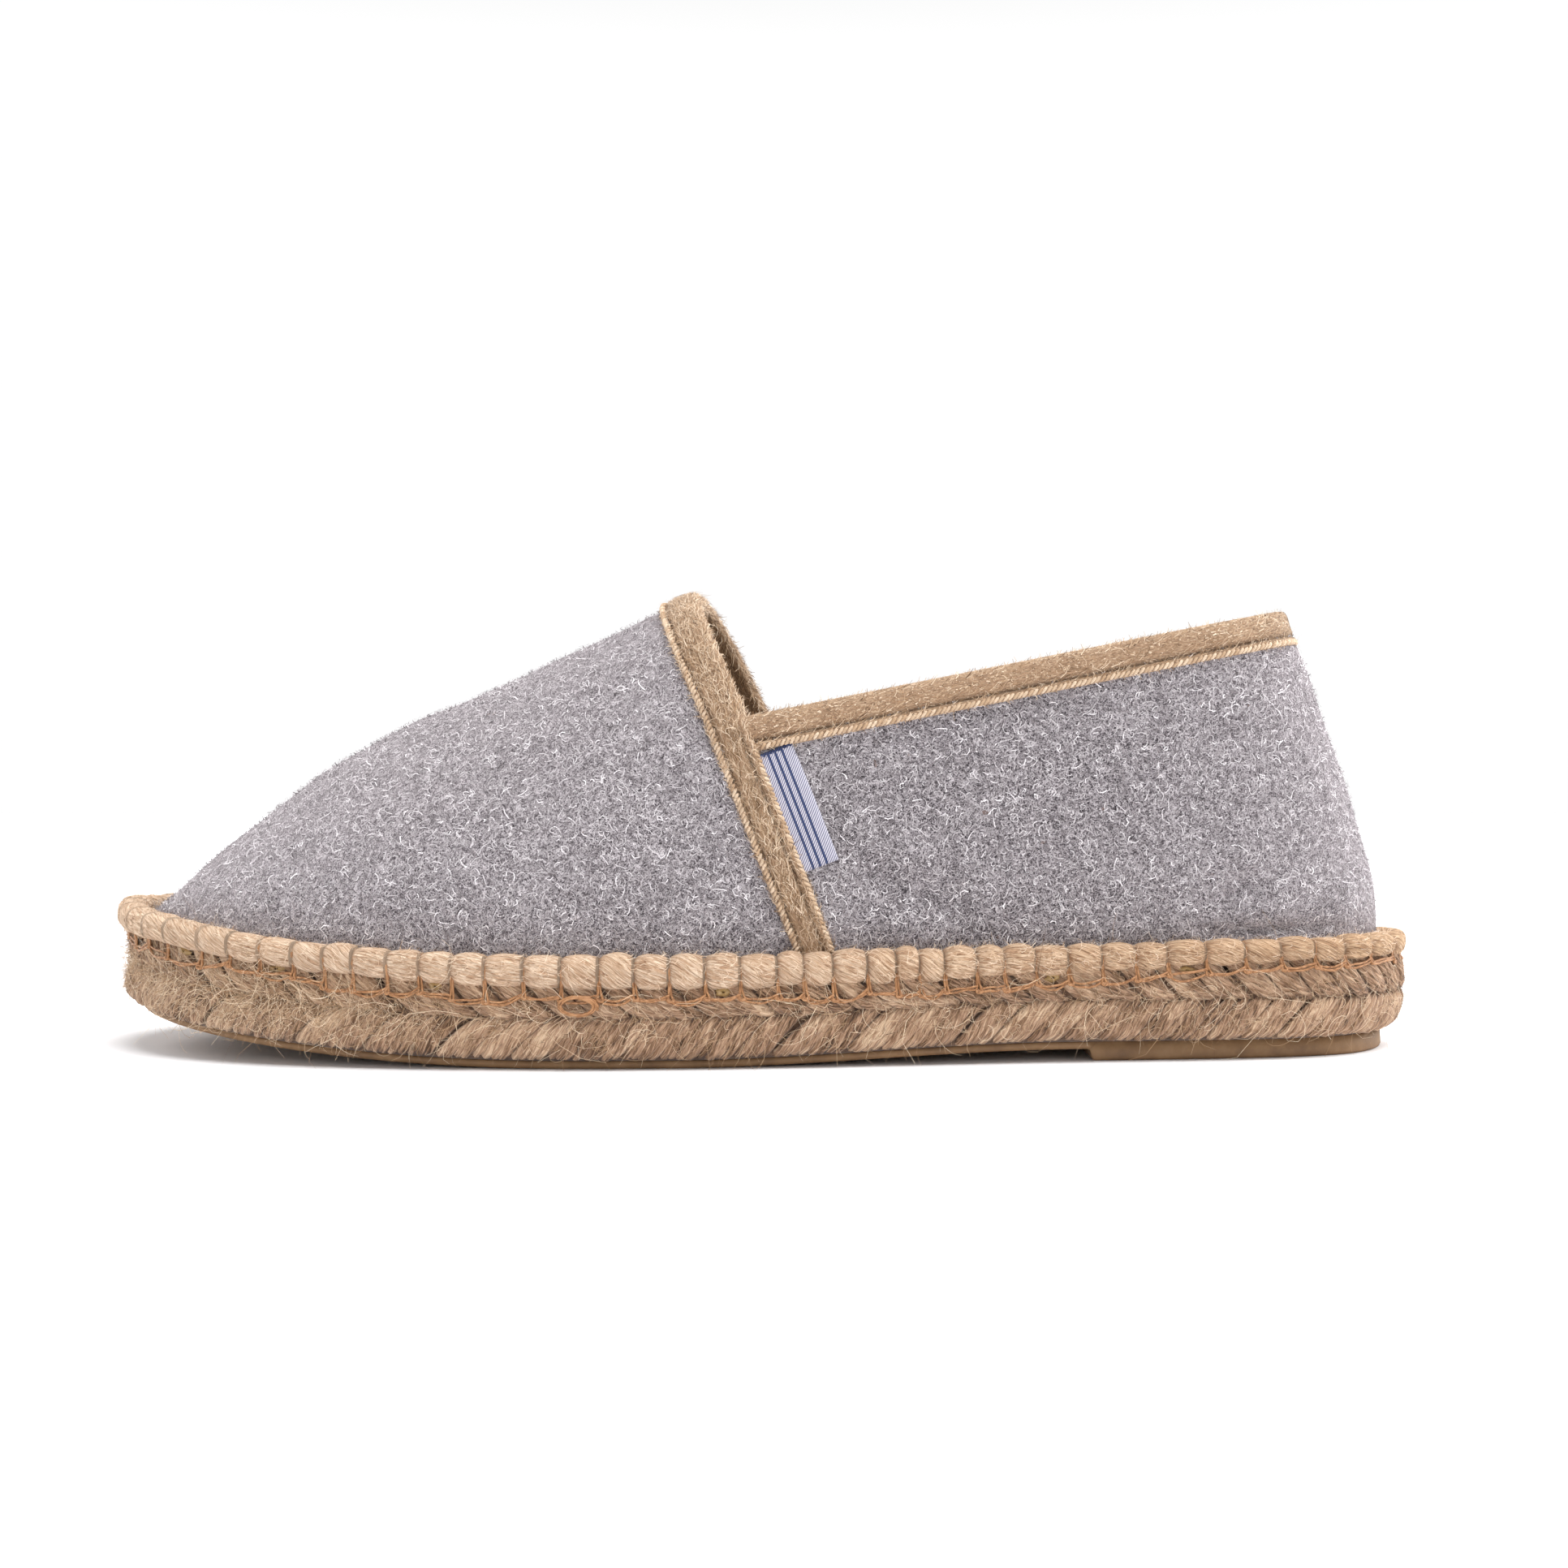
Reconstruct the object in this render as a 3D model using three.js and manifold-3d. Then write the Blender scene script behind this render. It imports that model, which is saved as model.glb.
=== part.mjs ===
// A left espadrille slipper: a soft two-piece upper with taped edges, sewn to a
// braided rope sole with a thick edge cord, on a thin rubber outsole with a low heel.
// Millimetres, +Z up. The toe points along -X, the outer side of the foot along -Y.

import * as THREE from 'three';
import { mergeVertices } from 'three/addons/utils/BufferGeometryUtils.js';
import Module from 'manifold-3d';

const wasm = await Module();
wasm.setup();

// Sole, seen from above and from the side
const soleLength = 274;
const ballWidth = 98;
const heelWidth = 66;
const ropeThickness = 15.9;
const toeSpring = 9.4;
const toeSpringPower = 2.05;
const heelRise = 2.3;
const outsoleThickness = 1.6;
const outsoleInset = 3.4;
const outsoleEndInset = 5.0; // at the toe and the heel
const heelBlockFront = 66; // ahead of this the outsole is only a sheet
const heelBlockSlope = 0.8;
const flatFront = -36; // the forefoot lies flat on the floor between these two
const flatBack = -16;
const riseEnd = 60;
const seatGap = 0.3; // between pieces that touch in the real shoe

// Edge cord and the braid below it
const cordWidth = 6.2;
const cordHeight = 6.6;
const cordOverhang = 0.2; // the cord's side stands this far proud of the braid's widest line
const stitchPitch = 6.6;
const pinchDepth = 0.85;
const strandDepth = 0.9;
const strandSlant = 7.5;
const strandPitch = 6.6;

// Upper
const wall = 1.6;
const instepHeight = 77; // of the ridge above the rope sole, at the throat
const heelHeight = 71; // of the back seam above the rope sole
const heelLean = 19; // how far the back leans in at the top
const throatX = -11.9; // where the throat meets the ridge
const throatZ = 92.8;
const junctionX = -0.8; // where throat and collar meet
const junctionZ = 68.0;
const collarBackZ = 90.8;
const collarBackX = 111.4;
const throatYaw = 5.2; // degrees; the throat lies further back on the inner side
const throatBend = 1.6; // it also bends back towards both sides, by this much at half the heel's width

// Edge tapes and side tag
const tapeThickness = 1.0;
const vampTapeWidth = 8.7; // along the shoe
const vampTapeFootWidth = 8.2;
const tapeFootX = 16.6; // where the vamp tape's rear edge comes down to the edge cord
const tapeTuck = 0.3; // its lower end lies this far behind the top of the edge cord
const tapeBow = 0.1;
const collarTapeWidth = 6.8;
const tagLength = 24.5;
const tagWidth = 7.0;
const tagThickness = 0.7;
const tagTopZ = 60.7;

// Insole sheet
const insoleThickness = 1.2;
const insoleGap = 1.2;

// Fineness of the meshes
const columns = 48; // around the last and the plain sheets
const cordSides = 6;
const cutterStep = 14; // along a cutter's length, which is bent
const cutMargin = 3; // cutters reach this far past what they cut
const degrees = Math.PI / 180;
const halfLength = soleLength / 2;

// Outline of the whole sole. at is the share of the length from the toe, the two
// half widths are shares of the width that the row follows.
const outlineRows = [
  { at: 0.0, outer: -0.07, inner: 0.07, of: ballWidth },
  { at: 0.03, outer: 0.19, inner: 0.31, of: ballWidth },
  { at: 0.08, outer: 0.325, inner: 0.39, of: ballWidth },
  { at: 0.15, outer: 0.42, inner: 0.44, of: ballWidth },
  { at: 0.24, outer: 0.48, inner: 0.472, of: ballWidth },
  { at: 0.33, outer: 0.505, inner: 0.468, of: ballWidth },
  { at: 0.42, outer: 0.503, inner: 0.43, of: ballWidth },
  { at: 0.52, outer: 0.475, inner: 0.38, of: ballWidth },
  { at: 0.62, outer: 0.432, inner: 0.342, of: ballWidth },
  { at: 0.72, outer: 0.575, inner: 0.485, of: heelWidth },
  { at: 0.82, outer: 0.53, inner: 0.495, of: heelWidth },
  { at: 0.9, outer: 0.475, inner: 0.47, of: heelWidth },
  { at: 0.96, outer: 0.36, inner: 0.36, of: heelWidth },
  { at: 1.0, outer: 0.0, inner: 0.0, of: heelWidth },
];

// Sections of the last. ridge is the sideways place of the highest line, height its
// height above the rope sole, and fullness the roundness of the arch: 2 is an ellipse.
const lastRows = [
  { at: 0.0, ridge: 0.07, height: 0.02, fullness: 2.1 },
  { at: 0.021, ridge: 0.07, height: 0.024, fullness: 2.1 },
  { at: 0.04, ridge: 0.069, height: 0.078, fullness: 2.1 },
  { at: 0.075, ridge: 0.066, height: 0.206, fullness: 2.1 },
  { at: 0.1, ridge: 0.063, height: 0.291, fullness: 2.1 },
  { at: 0.13, ridge: 0.06, height: 0.389, fullness: 2.1 },
  { at: 0.165, ridge: 0.057, height: 0.492, fullness: 2.15 },
  { at: 0.21, ridge: 0.054, height: 0.601, fullness: 2.2 },
  { at: 0.27, ridge: 0.05, height: 0.706, fullness: 2.25 },
  { at: 0.34, ridge: 0.047, height: 0.824, fullness: 2.3 },
  { at: 0.4, ridge: 0.044, height: 0.925, fullness: 2.35 },
  { at: 0.46, ridge: 0.04, height: 1.02, fullness: 2.45 },
  { at: 0.53, ridge: 0.032, height: 1.09, fullness: 2.65 },
  { at: 0.7, ridge: 0.012, height: 1.21, fullness: 3.0 },
  { at: 0.9, ridge: 0.0, height: 1.31, fullness: 3.3 },
  { at: 1.0, ridge: 0.0, height: 1.35, fullness: 3.3 },
];

// The back seam in side view: up is a share of heelHeight, lean one of heelLean.
const backRows = [
  { up: 0.0, lean: 0.0 },
  { up: 0.09, lean: -0.032 },
  { up: 0.2, lean: 0.01 },
  { up: 0.32, lean: 0.14 },
  { up: 0.5, lean: 0.33 },
  { up: 0.7, lean: 0.59 },
  { up: 0.87, lean: 0.81 },
  { up: 0.96, lean: 0.965 },
  { up: 1.0, lean: 1.0 },
  { up: 1.3, lean: 1.03 },
];

// The side of the braid, from the floor side up. inset is measured in from the
// outline, up is a share of ropeThickness, slant the share of the strands' slant
// and relief how much of the strands' depth shows.
const braidRows = [
  { up: 0.0, inset: 2.6, slant: 0.0, relief: 0.0 },
  { up: 0.13, inset: 0.7, slant: 0.25, relief: 1.0 },
  { up: 0.37, inset: 0.2, slant: 0.75, relief: 1.0 },
  { up: 0.48, inset: 1.3, slant: 1.0, relief: 0.6 },
  { up: 0.6, inset: 0.2, slant: 0.7, relief: 1.0 },
  { up: 0.76, inset: 0.3, slant: 0.35, relief: 1.0 },
  { up: 0.86, inset: 1.4, slant: 0.0, relief: 0.0 },
];

// A smooth curve through knots, or around a closed loop of them when period is given.
function spline(knots, period = 0) {
  const count = knots.length;
  const knot = (k) => {
    if (!period) return knots[Math.min(Math.max(k, 0), count - 1)];
    const turn = Math.floor(k / count);
    const base = knots[k - turn * count];
    return { t: base.t + turn * period, v: base.v };
  };
  const slope = (k) => {
    const before = knot(k - 1);
    const after = knot(k + 1);
    return after.t === before.t ? 0 : (after.v - before.v) / (after.t - before.t);
  };
  return (t) => {
    let k = 0;
    const last = period ? count : count - 1;
    while (k < last - 1 && t > knot(k + 1).t) k += 1;
    const a = knot(k);
    const b = knot(k + 1);
    const span = b.t - a.t;
    const s = Math.min(Math.max((t - a.t) / span, 0), 1);
    const s2 = s * s;
    const s3 = s2 * s;
    return (2 * s3 - 3 * s2 + 1) * a.v + (s3 - 2 * s2 + s) * span * slope(k)
      + (3 * s2 - 2 * s3) * b.v + (s3 - s2) * span * slope(k + 1);
  };
}

// The outline is one closed curve over an angle: 0 at the toe, pi at the heel.
const angleAt = (share) => Math.acos(1 - 2 * share);
const outlineSide = spline(
  [
    ...outlineRows.map((row) => ({ t: angleAt(row.at), v: -row.outer * row.of })),
    ...outlineRows.slice(1, -1).reverse()
      .map((row) => ({ t: 2 * Math.PI - angleAt(row.at), v: row.inner * row.of })),
  ],
  2 * Math.PI,
);

function outline(angle, inset = 0) {
  const turn = ((angle % (2 * Math.PI)) + 2 * Math.PI) % (2 * Math.PI);
  const step = 1e-4;
  const place = (a) => new THREE.Vector2(-halfLength * Math.cos(a), outlineSide(a));
  const before = place(Math.max(turn - step, 0));
  const after = place(Math.min(turn + step, 2 * Math.PI));
  const along = after.sub(before).normalize();
  if (turn < step || turn > 2 * Math.PI - step) along.set(0, -1);
  return place(turn).add(new THREE.Vector2(-along.y, along.x).multiplyScalar(inset));
}

// How far the whole sole is lifted at x by its toe spring and heel rise.
function lift(x) {
  const toe = Math.max(0, (flatFront - x) / (flatFront + halfLength));
  const rise = Math.min(Math.max((x - flatBack) / (riseEnd - flatBack), 0), 1);
  return toeSpring * toe ** toeSpringPower + heelRise * rise * rise * (3 - 2 * rise);
}
const ropeBottom = (x) => outsoleThickness + lift(x);
const ropeTop = (x) => ropeBottom(x) + ropeThickness;

// The edge cord lies on a ledge around the rope sole's upper rim.
const ledgeHeight = ropeThickness * braidRows[braidRows.length - 1].up;
const cordTop = (x) => ropeBottom(x) + ledgeHeight + seatGap + cordHeight;

// Closed solids from rings of points that all run the same way round
function geometryOf(points, triangles) {
  const geometry = new THREE.BufferGeometry();
  const places = points.flatMap((point) => point.toArray());
  geometry.setAttribute('position', new THREE.Float32BufferAttribute(places, 3));
  geometry.setIndex(triangles);
  return geometry;
}

function loft(rings) {
  const around = rings[0].length;
  const half = around / 2;
  const at = (ring, k) => ring * around + ((k + around) % around);
  const triangles = [];
  const quad = (a, b, c, d) => triangles.push(a, b, c, a, c, d);
  for (let ring = 0; ring < rings.length - 1; ring += 1) {
    for (let k = 0; k < around; k += 1) {
      quad(at(ring, k), at(ring, k + 1), at(ring + 1, k + 1), at(ring + 1, k));
    }
  }
  const top = rings.length - 1;
  for (let k = 0; k < half; k += 1) {
    if (k === 0) {
      triangles.push(at(top, 0), at(top, 1), at(top, -1), at(0, 0), at(0, -1), at(0, 1));
    } else if (k === half - 1) {
      triangles.push(at(top, k), at(top, half), at(top, half + 1));
      triangles.push(at(0, k), at(0, half + 1), at(0, half));
    } else {
      quad(at(top, k), at(top, k + 1), at(top, -k - 1), at(top, -k));
      quad(at(0, k), at(0, -k), at(0, -k - 1), at(0, k + 1));
    }
  }
  return geometryOf(rings.flat(), triangles);
}

function closedSweep(rings) {
  const around = rings[0].length;
  const at = (ring, k) => (ring % rings.length) * around + (k % around);
  const triangles = [];
  for (let ring = 0; ring < rings.length; ring += 1) {
    for (let k = 0; k < around; k += 1) {
      triangles.push(at(ring, k), at(ring + 1, k), at(ring + 1, k + 1));
      triangles.push(at(ring, k), at(ring + 1, k + 1), at(ring, k + 1));
    }
  }
  return geometryOf(rings.flat(), triangles);
}

// Booleans
function toSolid(geometry) {
  const plain = geometry.clone();
  plain.deleteAttribute('normal');
  plain.deleteAttribute('uv');
  const merged = mergeVertices(plain, 1e-5);
  return new wasm.Manifold(new wasm.Mesh({
    numProp: 3,
    vertProperties: new Float32Array(merged.attributes.position.array),
    triVerts: new Uint32Array(merged.index.array),
  }));
}

function toGeometry(solid) {
  const mesh = solid.getMesh();
  const geometry = new THREE.BufferGeometry();
  geometry.setAttribute('position', new THREE.BufferAttribute(mesh.vertProperties, 3));
  geometry.setIndex(new THREE.BufferAttribute(mesh.triVerts, 1));
  return geometry;
}

// A side-view outline of [x, z] corners, pushed right through the shoe, turned by
// throatYaw and bent by throatBend.
function sideCutter(corners, from = -ballWidth / 2, to = ballWidth / 2) {
  const shape = new THREE.Shape(corners.map(([x, z]) => new THREE.Vector2(x, z)));
  const steps = Math.round((to - from) / cutterStep);
  const geometry = new THREE.ExtrudeGeometry(shape, { depth: to - from, steps, bevelEnabled: false });
  geometry.rotateX(Math.PI / 2);
  geometry.translate(0, to, 0);
  const places = geometry.attributes.position;
  for (let k = 0; k < places.count; k += 1) {
    const side = places.getY(k);
    const bend = throatBend * (side / (heelWidth / 2)) ** 2;
    places.setX(k, places.getX(k) + side * Math.tan(throatYaw * degrees) + bend);
  }
  return toSolid(geometry);
}

// The last: the form that the upper is pulled over
const cordInset = cordWidth - cordOverhang; // to the inner side of the edge cord
const featherInset = cordInset + seatGap;
const toeX = outline(0, featherInset).x;
const heelX = outline(Math.PI, featherInset).x;
const lastTable = (key, size) => spline(lastRows.map((row) => ({ t: row.at, v: row[key] * size })));
const shareOf = (x) => (x + halfLength) / soleLength;
const ridgeSide = lastTable('ridge', ballWidth);
const ridgeHeight = lastTable('height', instepHeight);
const fullness = lastTable('fullness', 1);
const backLean = spline(backRows.map((row) => ({ t: row.up * heelHeight, v: row.lean * heelLean })));

// Solve rising(value) = target between two limits.
function solve(rising, target, low, high) {
  let a = low;
  let b = high;
  for (let k = 0; k < 40; k += 1) {
    const middle = (a + b) / 2;
    if (rising(middle) < target) a = middle;
    else b = middle;
  }
  return (a + b) / 2;
}

function featherSide(x, inner) {
  const angle = solve((a) => outline(a, featherInset).x, x, 0, Math.PI);
  if (!inner) return outline(angle, featherInset).y;
  const innerAngle = solve((a) => outline(2 * Math.PI - a, featherInset).x, x, 0, Math.PI);
  return outline(2 * Math.PI - innerAngle, featherInset).y;
}

function lastPoint(angle, height) {
  const up = Math.max(height, 0);
  const front = ridgeHeight(shareOf(toeX)) >= up
    ? toeX
    : solve((x) => ridgeHeight(shareOf(x)), up, toeX, heelX);
  const lean = backLean(up);
  const x = front + ((1 - Math.cos(angle)) / 2) * (heelX - lean - front);
  const rearward = Math.min(Math.max((x - front) / (heelX - lean - front), 0), 1);
  const footX = Math.min(x + lean * rearward ** 2, heelX);
  const rise = Math.min(up / ridgeHeight(shareOf(x)), 1);
  const power = fullness(shareOf(x));
  const narrowing = (1 - rise ** power) ** (1 / power);
  const inner = angle > Math.PI;
  const middle = ridgeSide(shareOf(x));
  const tips = angle < 1e-9 || Math.abs(angle - Math.PI) < 1e-9;
  const foot = tips ? middle : featherSide(footX, inner);
  return new THREE.Vector3(x, middle + (foot - middle) * narrowing, ropeTop(x) + height);
}

// Heights of the last's rings above the lowest, as shares of instepHeight
const levels = [0.04, 0.1, 0.19, 0.3, 0.41, 0.53, 0.65, 0.75, 0.84, 0.92, 0.99, 1.04, 1.1];
const angleStep = 0.02; // for the slopes that the surface's normals are worked out from
const heightStep = 0.4;

// The last grown outwards by grow, from bottom up to past the highest edge
function lastSolid(grow, bottom) {
  const rings = [bottom, ...levels.map((share) => share * instepHeight)].map((height) => {
    const ring = [];
    for (let k = 0; k < columns; k += 1) {
      const angle = (k / columns) * 2 * Math.PI;
      const around = lastPoint((angle + angleStep) % (2 * Math.PI), height)
        .sub(lastPoint((angle - angleStep + 2 * Math.PI) % (2 * Math.PI), height));
      const upward = lastPoint(angle, Math.max(height, 0) + heightStep)
        .sub(lastPoint(angle, Math.max(height - heightStep, 0)));
      const normal = around.cross(upward).normalize();
      ring.push(lastPoint(angle, height).addScaledVector(normal, grow));
    }
    return ring;
  });
  return toSolid(loft(rings));
}

// Side-view lines of the opening. The edge can be moved into the upper by shift.
const along = (from, to) => to.clone().sub(from).normalize();
const throatTop = new THREE.Vector2(throatX, throatZ);
const junction = new THREE.Vector2(junctionX, junctionZ);
const collarBack = new THREE.Vector2(collarBackX, collarBackZ);
const throatRun = along(throatTop, junction);
const collarRun = along(junction, collarBack);
const farAway = soleLength;

// A point moved square to a line's run, into the upper
function shifted(point, run, shift) {
  return point.clone().add(new THREE.Vector2(run.y, -run.x).multiplyScalar(shift));
}

function corner(shift) {
  const throatStart = shifted(throatTop, throatRun, shift);
  const collarStart = shifted(junction, collarRun, shift);
  const distance = collarStart.sub(throatStart).cross(collarRun) / throatRun.cross(collarRun);
  return throatStart.addScaledVector(throatRun, distance);
}

const xz = (point) => [point.x, point.y];

function opening(shift) {
  const inner = corner(shift);
  return sideCutter([
    xz(inner),
    xz(inner.clone().addScaledVector(collarRun, farAway)),
    [farAway, farAway],
    xz(inner.clone().addScaledVector(throatRun, -farAway)),
  ]);
}

// The rear edge of the vamp tape below the junction, from top to foot
const tapeFoot = new THREE.Vector2(tapeFootX, cordTop(tapeFootX) - tapeTuck);
const tapeMiddle = junction.clone().lerp(tapeFoot, 0.5).add(new THREE.Vector2(tapeBow, 0));
const tapeRearAt = (z) => (z > tapeMiddle.y
  ? junction.x + ((junction.y - z) / (junction.y - tapeMiddle.y)) * (tapeMiddle.x - junction.x)
  : tapeMiddle.x + ((tapeMiddle.y - z) / (tapeMiddle.y - tapeFoot.y)) * (tapeFoot.x - tapeMiddle.x));

const fold = seatGap + tapeThickness; // the tape stands this far off the upper's faces and edge

function upperPiece() {
  return lastSolid(0, seatGap).subtract(lastSolid(-wall, -cutMargin)).subtract(opening(fold));
}

// The room that the upper's wall and its clearance take out of a tape
function wallRoom() {
  const grown = lastSolid(seatGap, -cutMargin);
  return grown.subtract(lastSolid(-wall - seatGap, -2 * cutMargin)).subtract(opening(tapeThickness));
}

// A layer of tape on both faces of the wall, joined over its edge
function foldedTape(band, room) {
  const layer = lastSolid(fold, seatGap).intersect(band);
  return layer.subtract(lastSolid(-wall - fold, -cutMargin)).subtract(room);
}

// Folded over the throat's edge above the junction, and laid on the outside below it
function vampTapePiece(room) {
  const ridgeward = farAway / 4;
  const band = sideCutter([
    [tapeMiddle.x - vampTapeWidth, tapeMiddle.y],
    [tapeFoot.x - vampTapeFootWidth, cordTop(tapeFoot.x - vampTapeFootWidth) - tapeTuck],
    xz(tapeFoot),
    xz(tapeMiddle),
    xz(junction),
    xz(junction.clone().addScaledVector(throatRun, -ridgeward)),
    xz(junction.clone().addScaledVector(throatRun, -ridgeward).sub(new THREE.Vector2(vampTapeWidth, 0))),
    [junction.x - vampTapeWidth, junction.y],
  ]);
  const below = sideCutter([[-farAway, 0], [farAway, 0], [farAway, junction.y], [-farAway, junction.y]]);
  return foldedTape(band, room).subtract(lastSolid(-wall / 2, -cutMargin).intersect(below));
}

function collarTapePiece(room) {
  const low = shifted(junction, collarRun, collarTapeWidth);
  const band = sideCutter([
    [tapeRearAt(junction.y) + seatGap, junction.y + seatGap * collarRun.y],
    [tapeRearAt(low.y) + seatGap, low.y],
    xz(low.clone().addScaledVector(collarRun, farAway)),
    xz(junction.clone().addScaledVector(collarRun, farAway)),
  ]);
  return foldedTape(band, room);
}

function tagPiece() {
  const top = new THREE.Vector2(tapeRearAt(tagTopZ), tagTopZ);
  const down = along(top, tapeMiddle);
  const across = new THREE.Vector2(-down.y, down.x);
  const start = top.clone().addScaledVector(across, seatGap);
  const band = sideCutter([
    xz(start),
    xz(start.clone().addScaledVector(down, tagLength)),
    xz(start.clone().addScaledVector(down, tagLength).addScaledVector(across, tagWidth)),
    xz(start.clone().addScaledVector(collarRun, tagWidth / collarRun.dot(across))),
  ], -ballWidth / 2, 0);
  const layer = lastSolid(seatGap + tagThickness, seatGap).subtract(lastSolid(seatGap, -cutMargin));
  return layer.intersect(band);
}

// Even steps along the outline, the same number on each side of the foot
const sideSteps = 360;
const arcTable = [[], []].map((unused, side) => {
  const table = [0];
  for (let k = 1; k <= sideSteps; k += 1) {
    const from = outline(Math.PI * (side + (k - 1) / sideSteps));
    const to = outline(Math.PI * (side + k / sideSteps));
    table.push(table[k - 1] + from.distanceTo(to));
  }
  return table;
});
const sideLength = (arcTable[0][sideSteps] + arcTable[1][sideSteps]) / 2;

// turns counts sides of the foot: 0 to 1 is the outer side, 1 to 2 the inner side.
function angleAlong(turns) {
  const wrapped = ((turns % 2) + 2) % 2;
  const side = wrapped < 1 ? 0 : 1;
  const table = arcTable[side];
  const target = (wrapped - side) * table[sideSteps];
  let k = 1;
  while (k < sideSteps && table[k] < target) k += 1;
  return Math.PI * (side + (k - 1 + (target - table[k - 1]) / (table[k] - table[k - 1])) / sideSteps);
}

const at = (place, z) => new THREE.Vector3(place.x, place.y, z);

// Rope sole: its sides carry the braid's two rows of slanting strands.
function ropeSolePiece() {
  const perSide = Math.round(sideLength / strandPitch);
  const count = 4 * perSide;
  const rings = braidRows.map((row) => {
    const ring = [];
    for (let k = 0; k < count; k += 1) {
      const turns = k / (2 * perSide) + (row.slant * strandSlant) / sideLength;
      const groove = k % 2 ? strandDepth * row.relief : 0;
      const place = outline(angleAlong(turns), row.inset + groove);
      ring.push(at(place, ropeBottom(place.x) + row.up * ropeThickness));
    }
    return ring;
  });
  for (const height of [ledgeHeight, ropeThickness]) {
    const ring = [];
    for (let k = 0; k < count; k += 1) {
      const place = outline(angleAlong(k / (2 * perSide)), featherInset);
      ring.push(at(place, ropeBottom(place.x) + height));
    }
    rings.push(ring);
  }
  return loft(rings);
}

// Edge cord: nipped in by a stitch at every pitch
function edgeCordPiece() {
  const perSide = Math.round(sideLength / stitchPitch);
  const rings = [];
  for (let k = 0; k < 4 * perSide; k += 1) {
    const angle = angleAlong(k / (2 * perSide));
    const middle = outline(angle, cordWidth / 2 - cordOverhang);
    const out = outline(angle).sub(middle).normalize();
    const swell = k % 2 ? 1 : pinchDepth;
    const z = cordTop(middle.x) - cordHeight / 2;
    const ring = [];
    for (let side = 0; side < cordSides; side += 1) {
      const turn = ((side + 0.5) / cordSides) * 2 * Math.PI;
      const reach = (Math.cos(turn) * swell * cordWidth) / 2 / Math.cos(Math.PI / cordSides);
      const rise = (Math.sin(turn) * swell * cordHeight) / 2;
      ring.push(at(middle.clone().addScaledVector(out, reach), z + rise));
    }
    rings.push(ring);
  }
  return closedSweep(rings);
}

// Plain sheets: rings of one outline at given insets and heights
function sheet(angles, rows) {
  return loft(rows.map((row) => angles.map((angle) => {
    const place = outline(angle, row.inset(angle));
    return at(place, row.z(place.x));
  })));
}

const evenAngles = Array.from({ length: columns }, (unused, k) => (k / columns) * 2 * Math.PI);

function insolePiece() {
  const inset = () => featherInset + wall + insoleGap;
  return sheet(evenAngles, [
    { inset, z: (x) => ropeTop(x) + seatGap },
    { inset, z: (x) => ropeTop(x) + seatGap + insoleThickness },
  ]);
}

// Outsole: one rubber sheet, with a heel block down to the floor
const edgeRound = 0.7;

function outsolePiece() {
  const steps = [heelBlockFront, heelBlockFront + heelBlockSlope].map((x) => Math.acos(-x / halfLength));
  const outer = [...evenAngles.slice(0, columns / 2), ...steps].sort((a, b) => a - b);
  const angles = [...outer, Math.PI, ...outer.slice(1).reverse().map((angle) => 2 * Math.PI - angle)];
  const blockStart = heelBlockFront + heelBlockSlope / 2;
  const under = (x) => (x > blockStart ? 0 : lift(x));
  const inset = (angle) => outsoleInset + (outsoleEndInset - outsoleInset) * Math.cos(angle) ** 2;
  return sheet(angles, [
    { inset: (angle) => inset(angle) + edgeRound, z: under },
    { inset, z: (x) => under(x) + edgeRound },
    { inset, z: (x) => ropeBottom(x) - seatGap },
  ]);
}

// Colours from the photograph, as sRGB
const look = (color, roughness) => new THREE.MeshStandardMaterial({ color, roughness, metalness: 0 });
const suede = look('#a9a9b1', 0.95);
const tapeCotton = look('#c4a27c', 0.9);
const cordCotton = look('#d9bd9a', 0.95);
const jute = look('#b0957a', 0.95);
const rubber = look('#85705a', 0.7);
const canvas = look('#cdb897', 0.9);
const tagWeave = look('#d4d4e4', 0.7);

const room = wallRoom();
const shoe = new THREE.Group();
shoe.name = 'espadrille';

function addPiece(name, geometry, material) {
  const mesh = new THREE.Mesh(geometry, material);
  mesh.name = name;
  shoe.add(mesh);
}

addPiece('outsole', outsolePiece(), rubber);
addPiece('rope_sole', ropeSolePiece(), jute);
addPiece('edge_cord', edgeCordPiece(), cordCotton);
addPiece('insole', insolePiece(), canvas);
addPiece('upper', toGeometry(upperPiece()), suede);
addPiece('vamp_tape', toGeometry(vampTapePiece(room)), tapeCotton);
addPiece('collar_tape', toGeometry(collarTapePiece(room)), tapeCotton);
addPiece('side_tag', toGeometry(tagPiece()), tagWeave);

// The origin is on the floor under the middle of the whole shoe.
const bounds = new THREE.Box3().setFromObject(shoe);
const middle = bounds.getCenter(new THREE.Vector3());
shoe.position.set(-middle.x, -middle.y, -bounds.min.z);
shoe.updateMatrixWorld(true);

export default shoe;
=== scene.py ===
import math

import bpy
import numpy as np
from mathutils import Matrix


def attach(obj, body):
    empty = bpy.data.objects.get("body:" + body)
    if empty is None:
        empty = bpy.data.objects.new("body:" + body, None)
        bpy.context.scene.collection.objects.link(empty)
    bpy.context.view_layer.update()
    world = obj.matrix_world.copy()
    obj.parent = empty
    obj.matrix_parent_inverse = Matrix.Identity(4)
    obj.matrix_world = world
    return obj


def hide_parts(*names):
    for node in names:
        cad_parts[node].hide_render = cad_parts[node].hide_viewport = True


# A left espadrille: split suede upper, brushed cotton tapes, jute sole, thin rubber outsole.
# Lengths are in mm until a mesh is made. The toe points along -X, the outer side along -Y.

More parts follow.
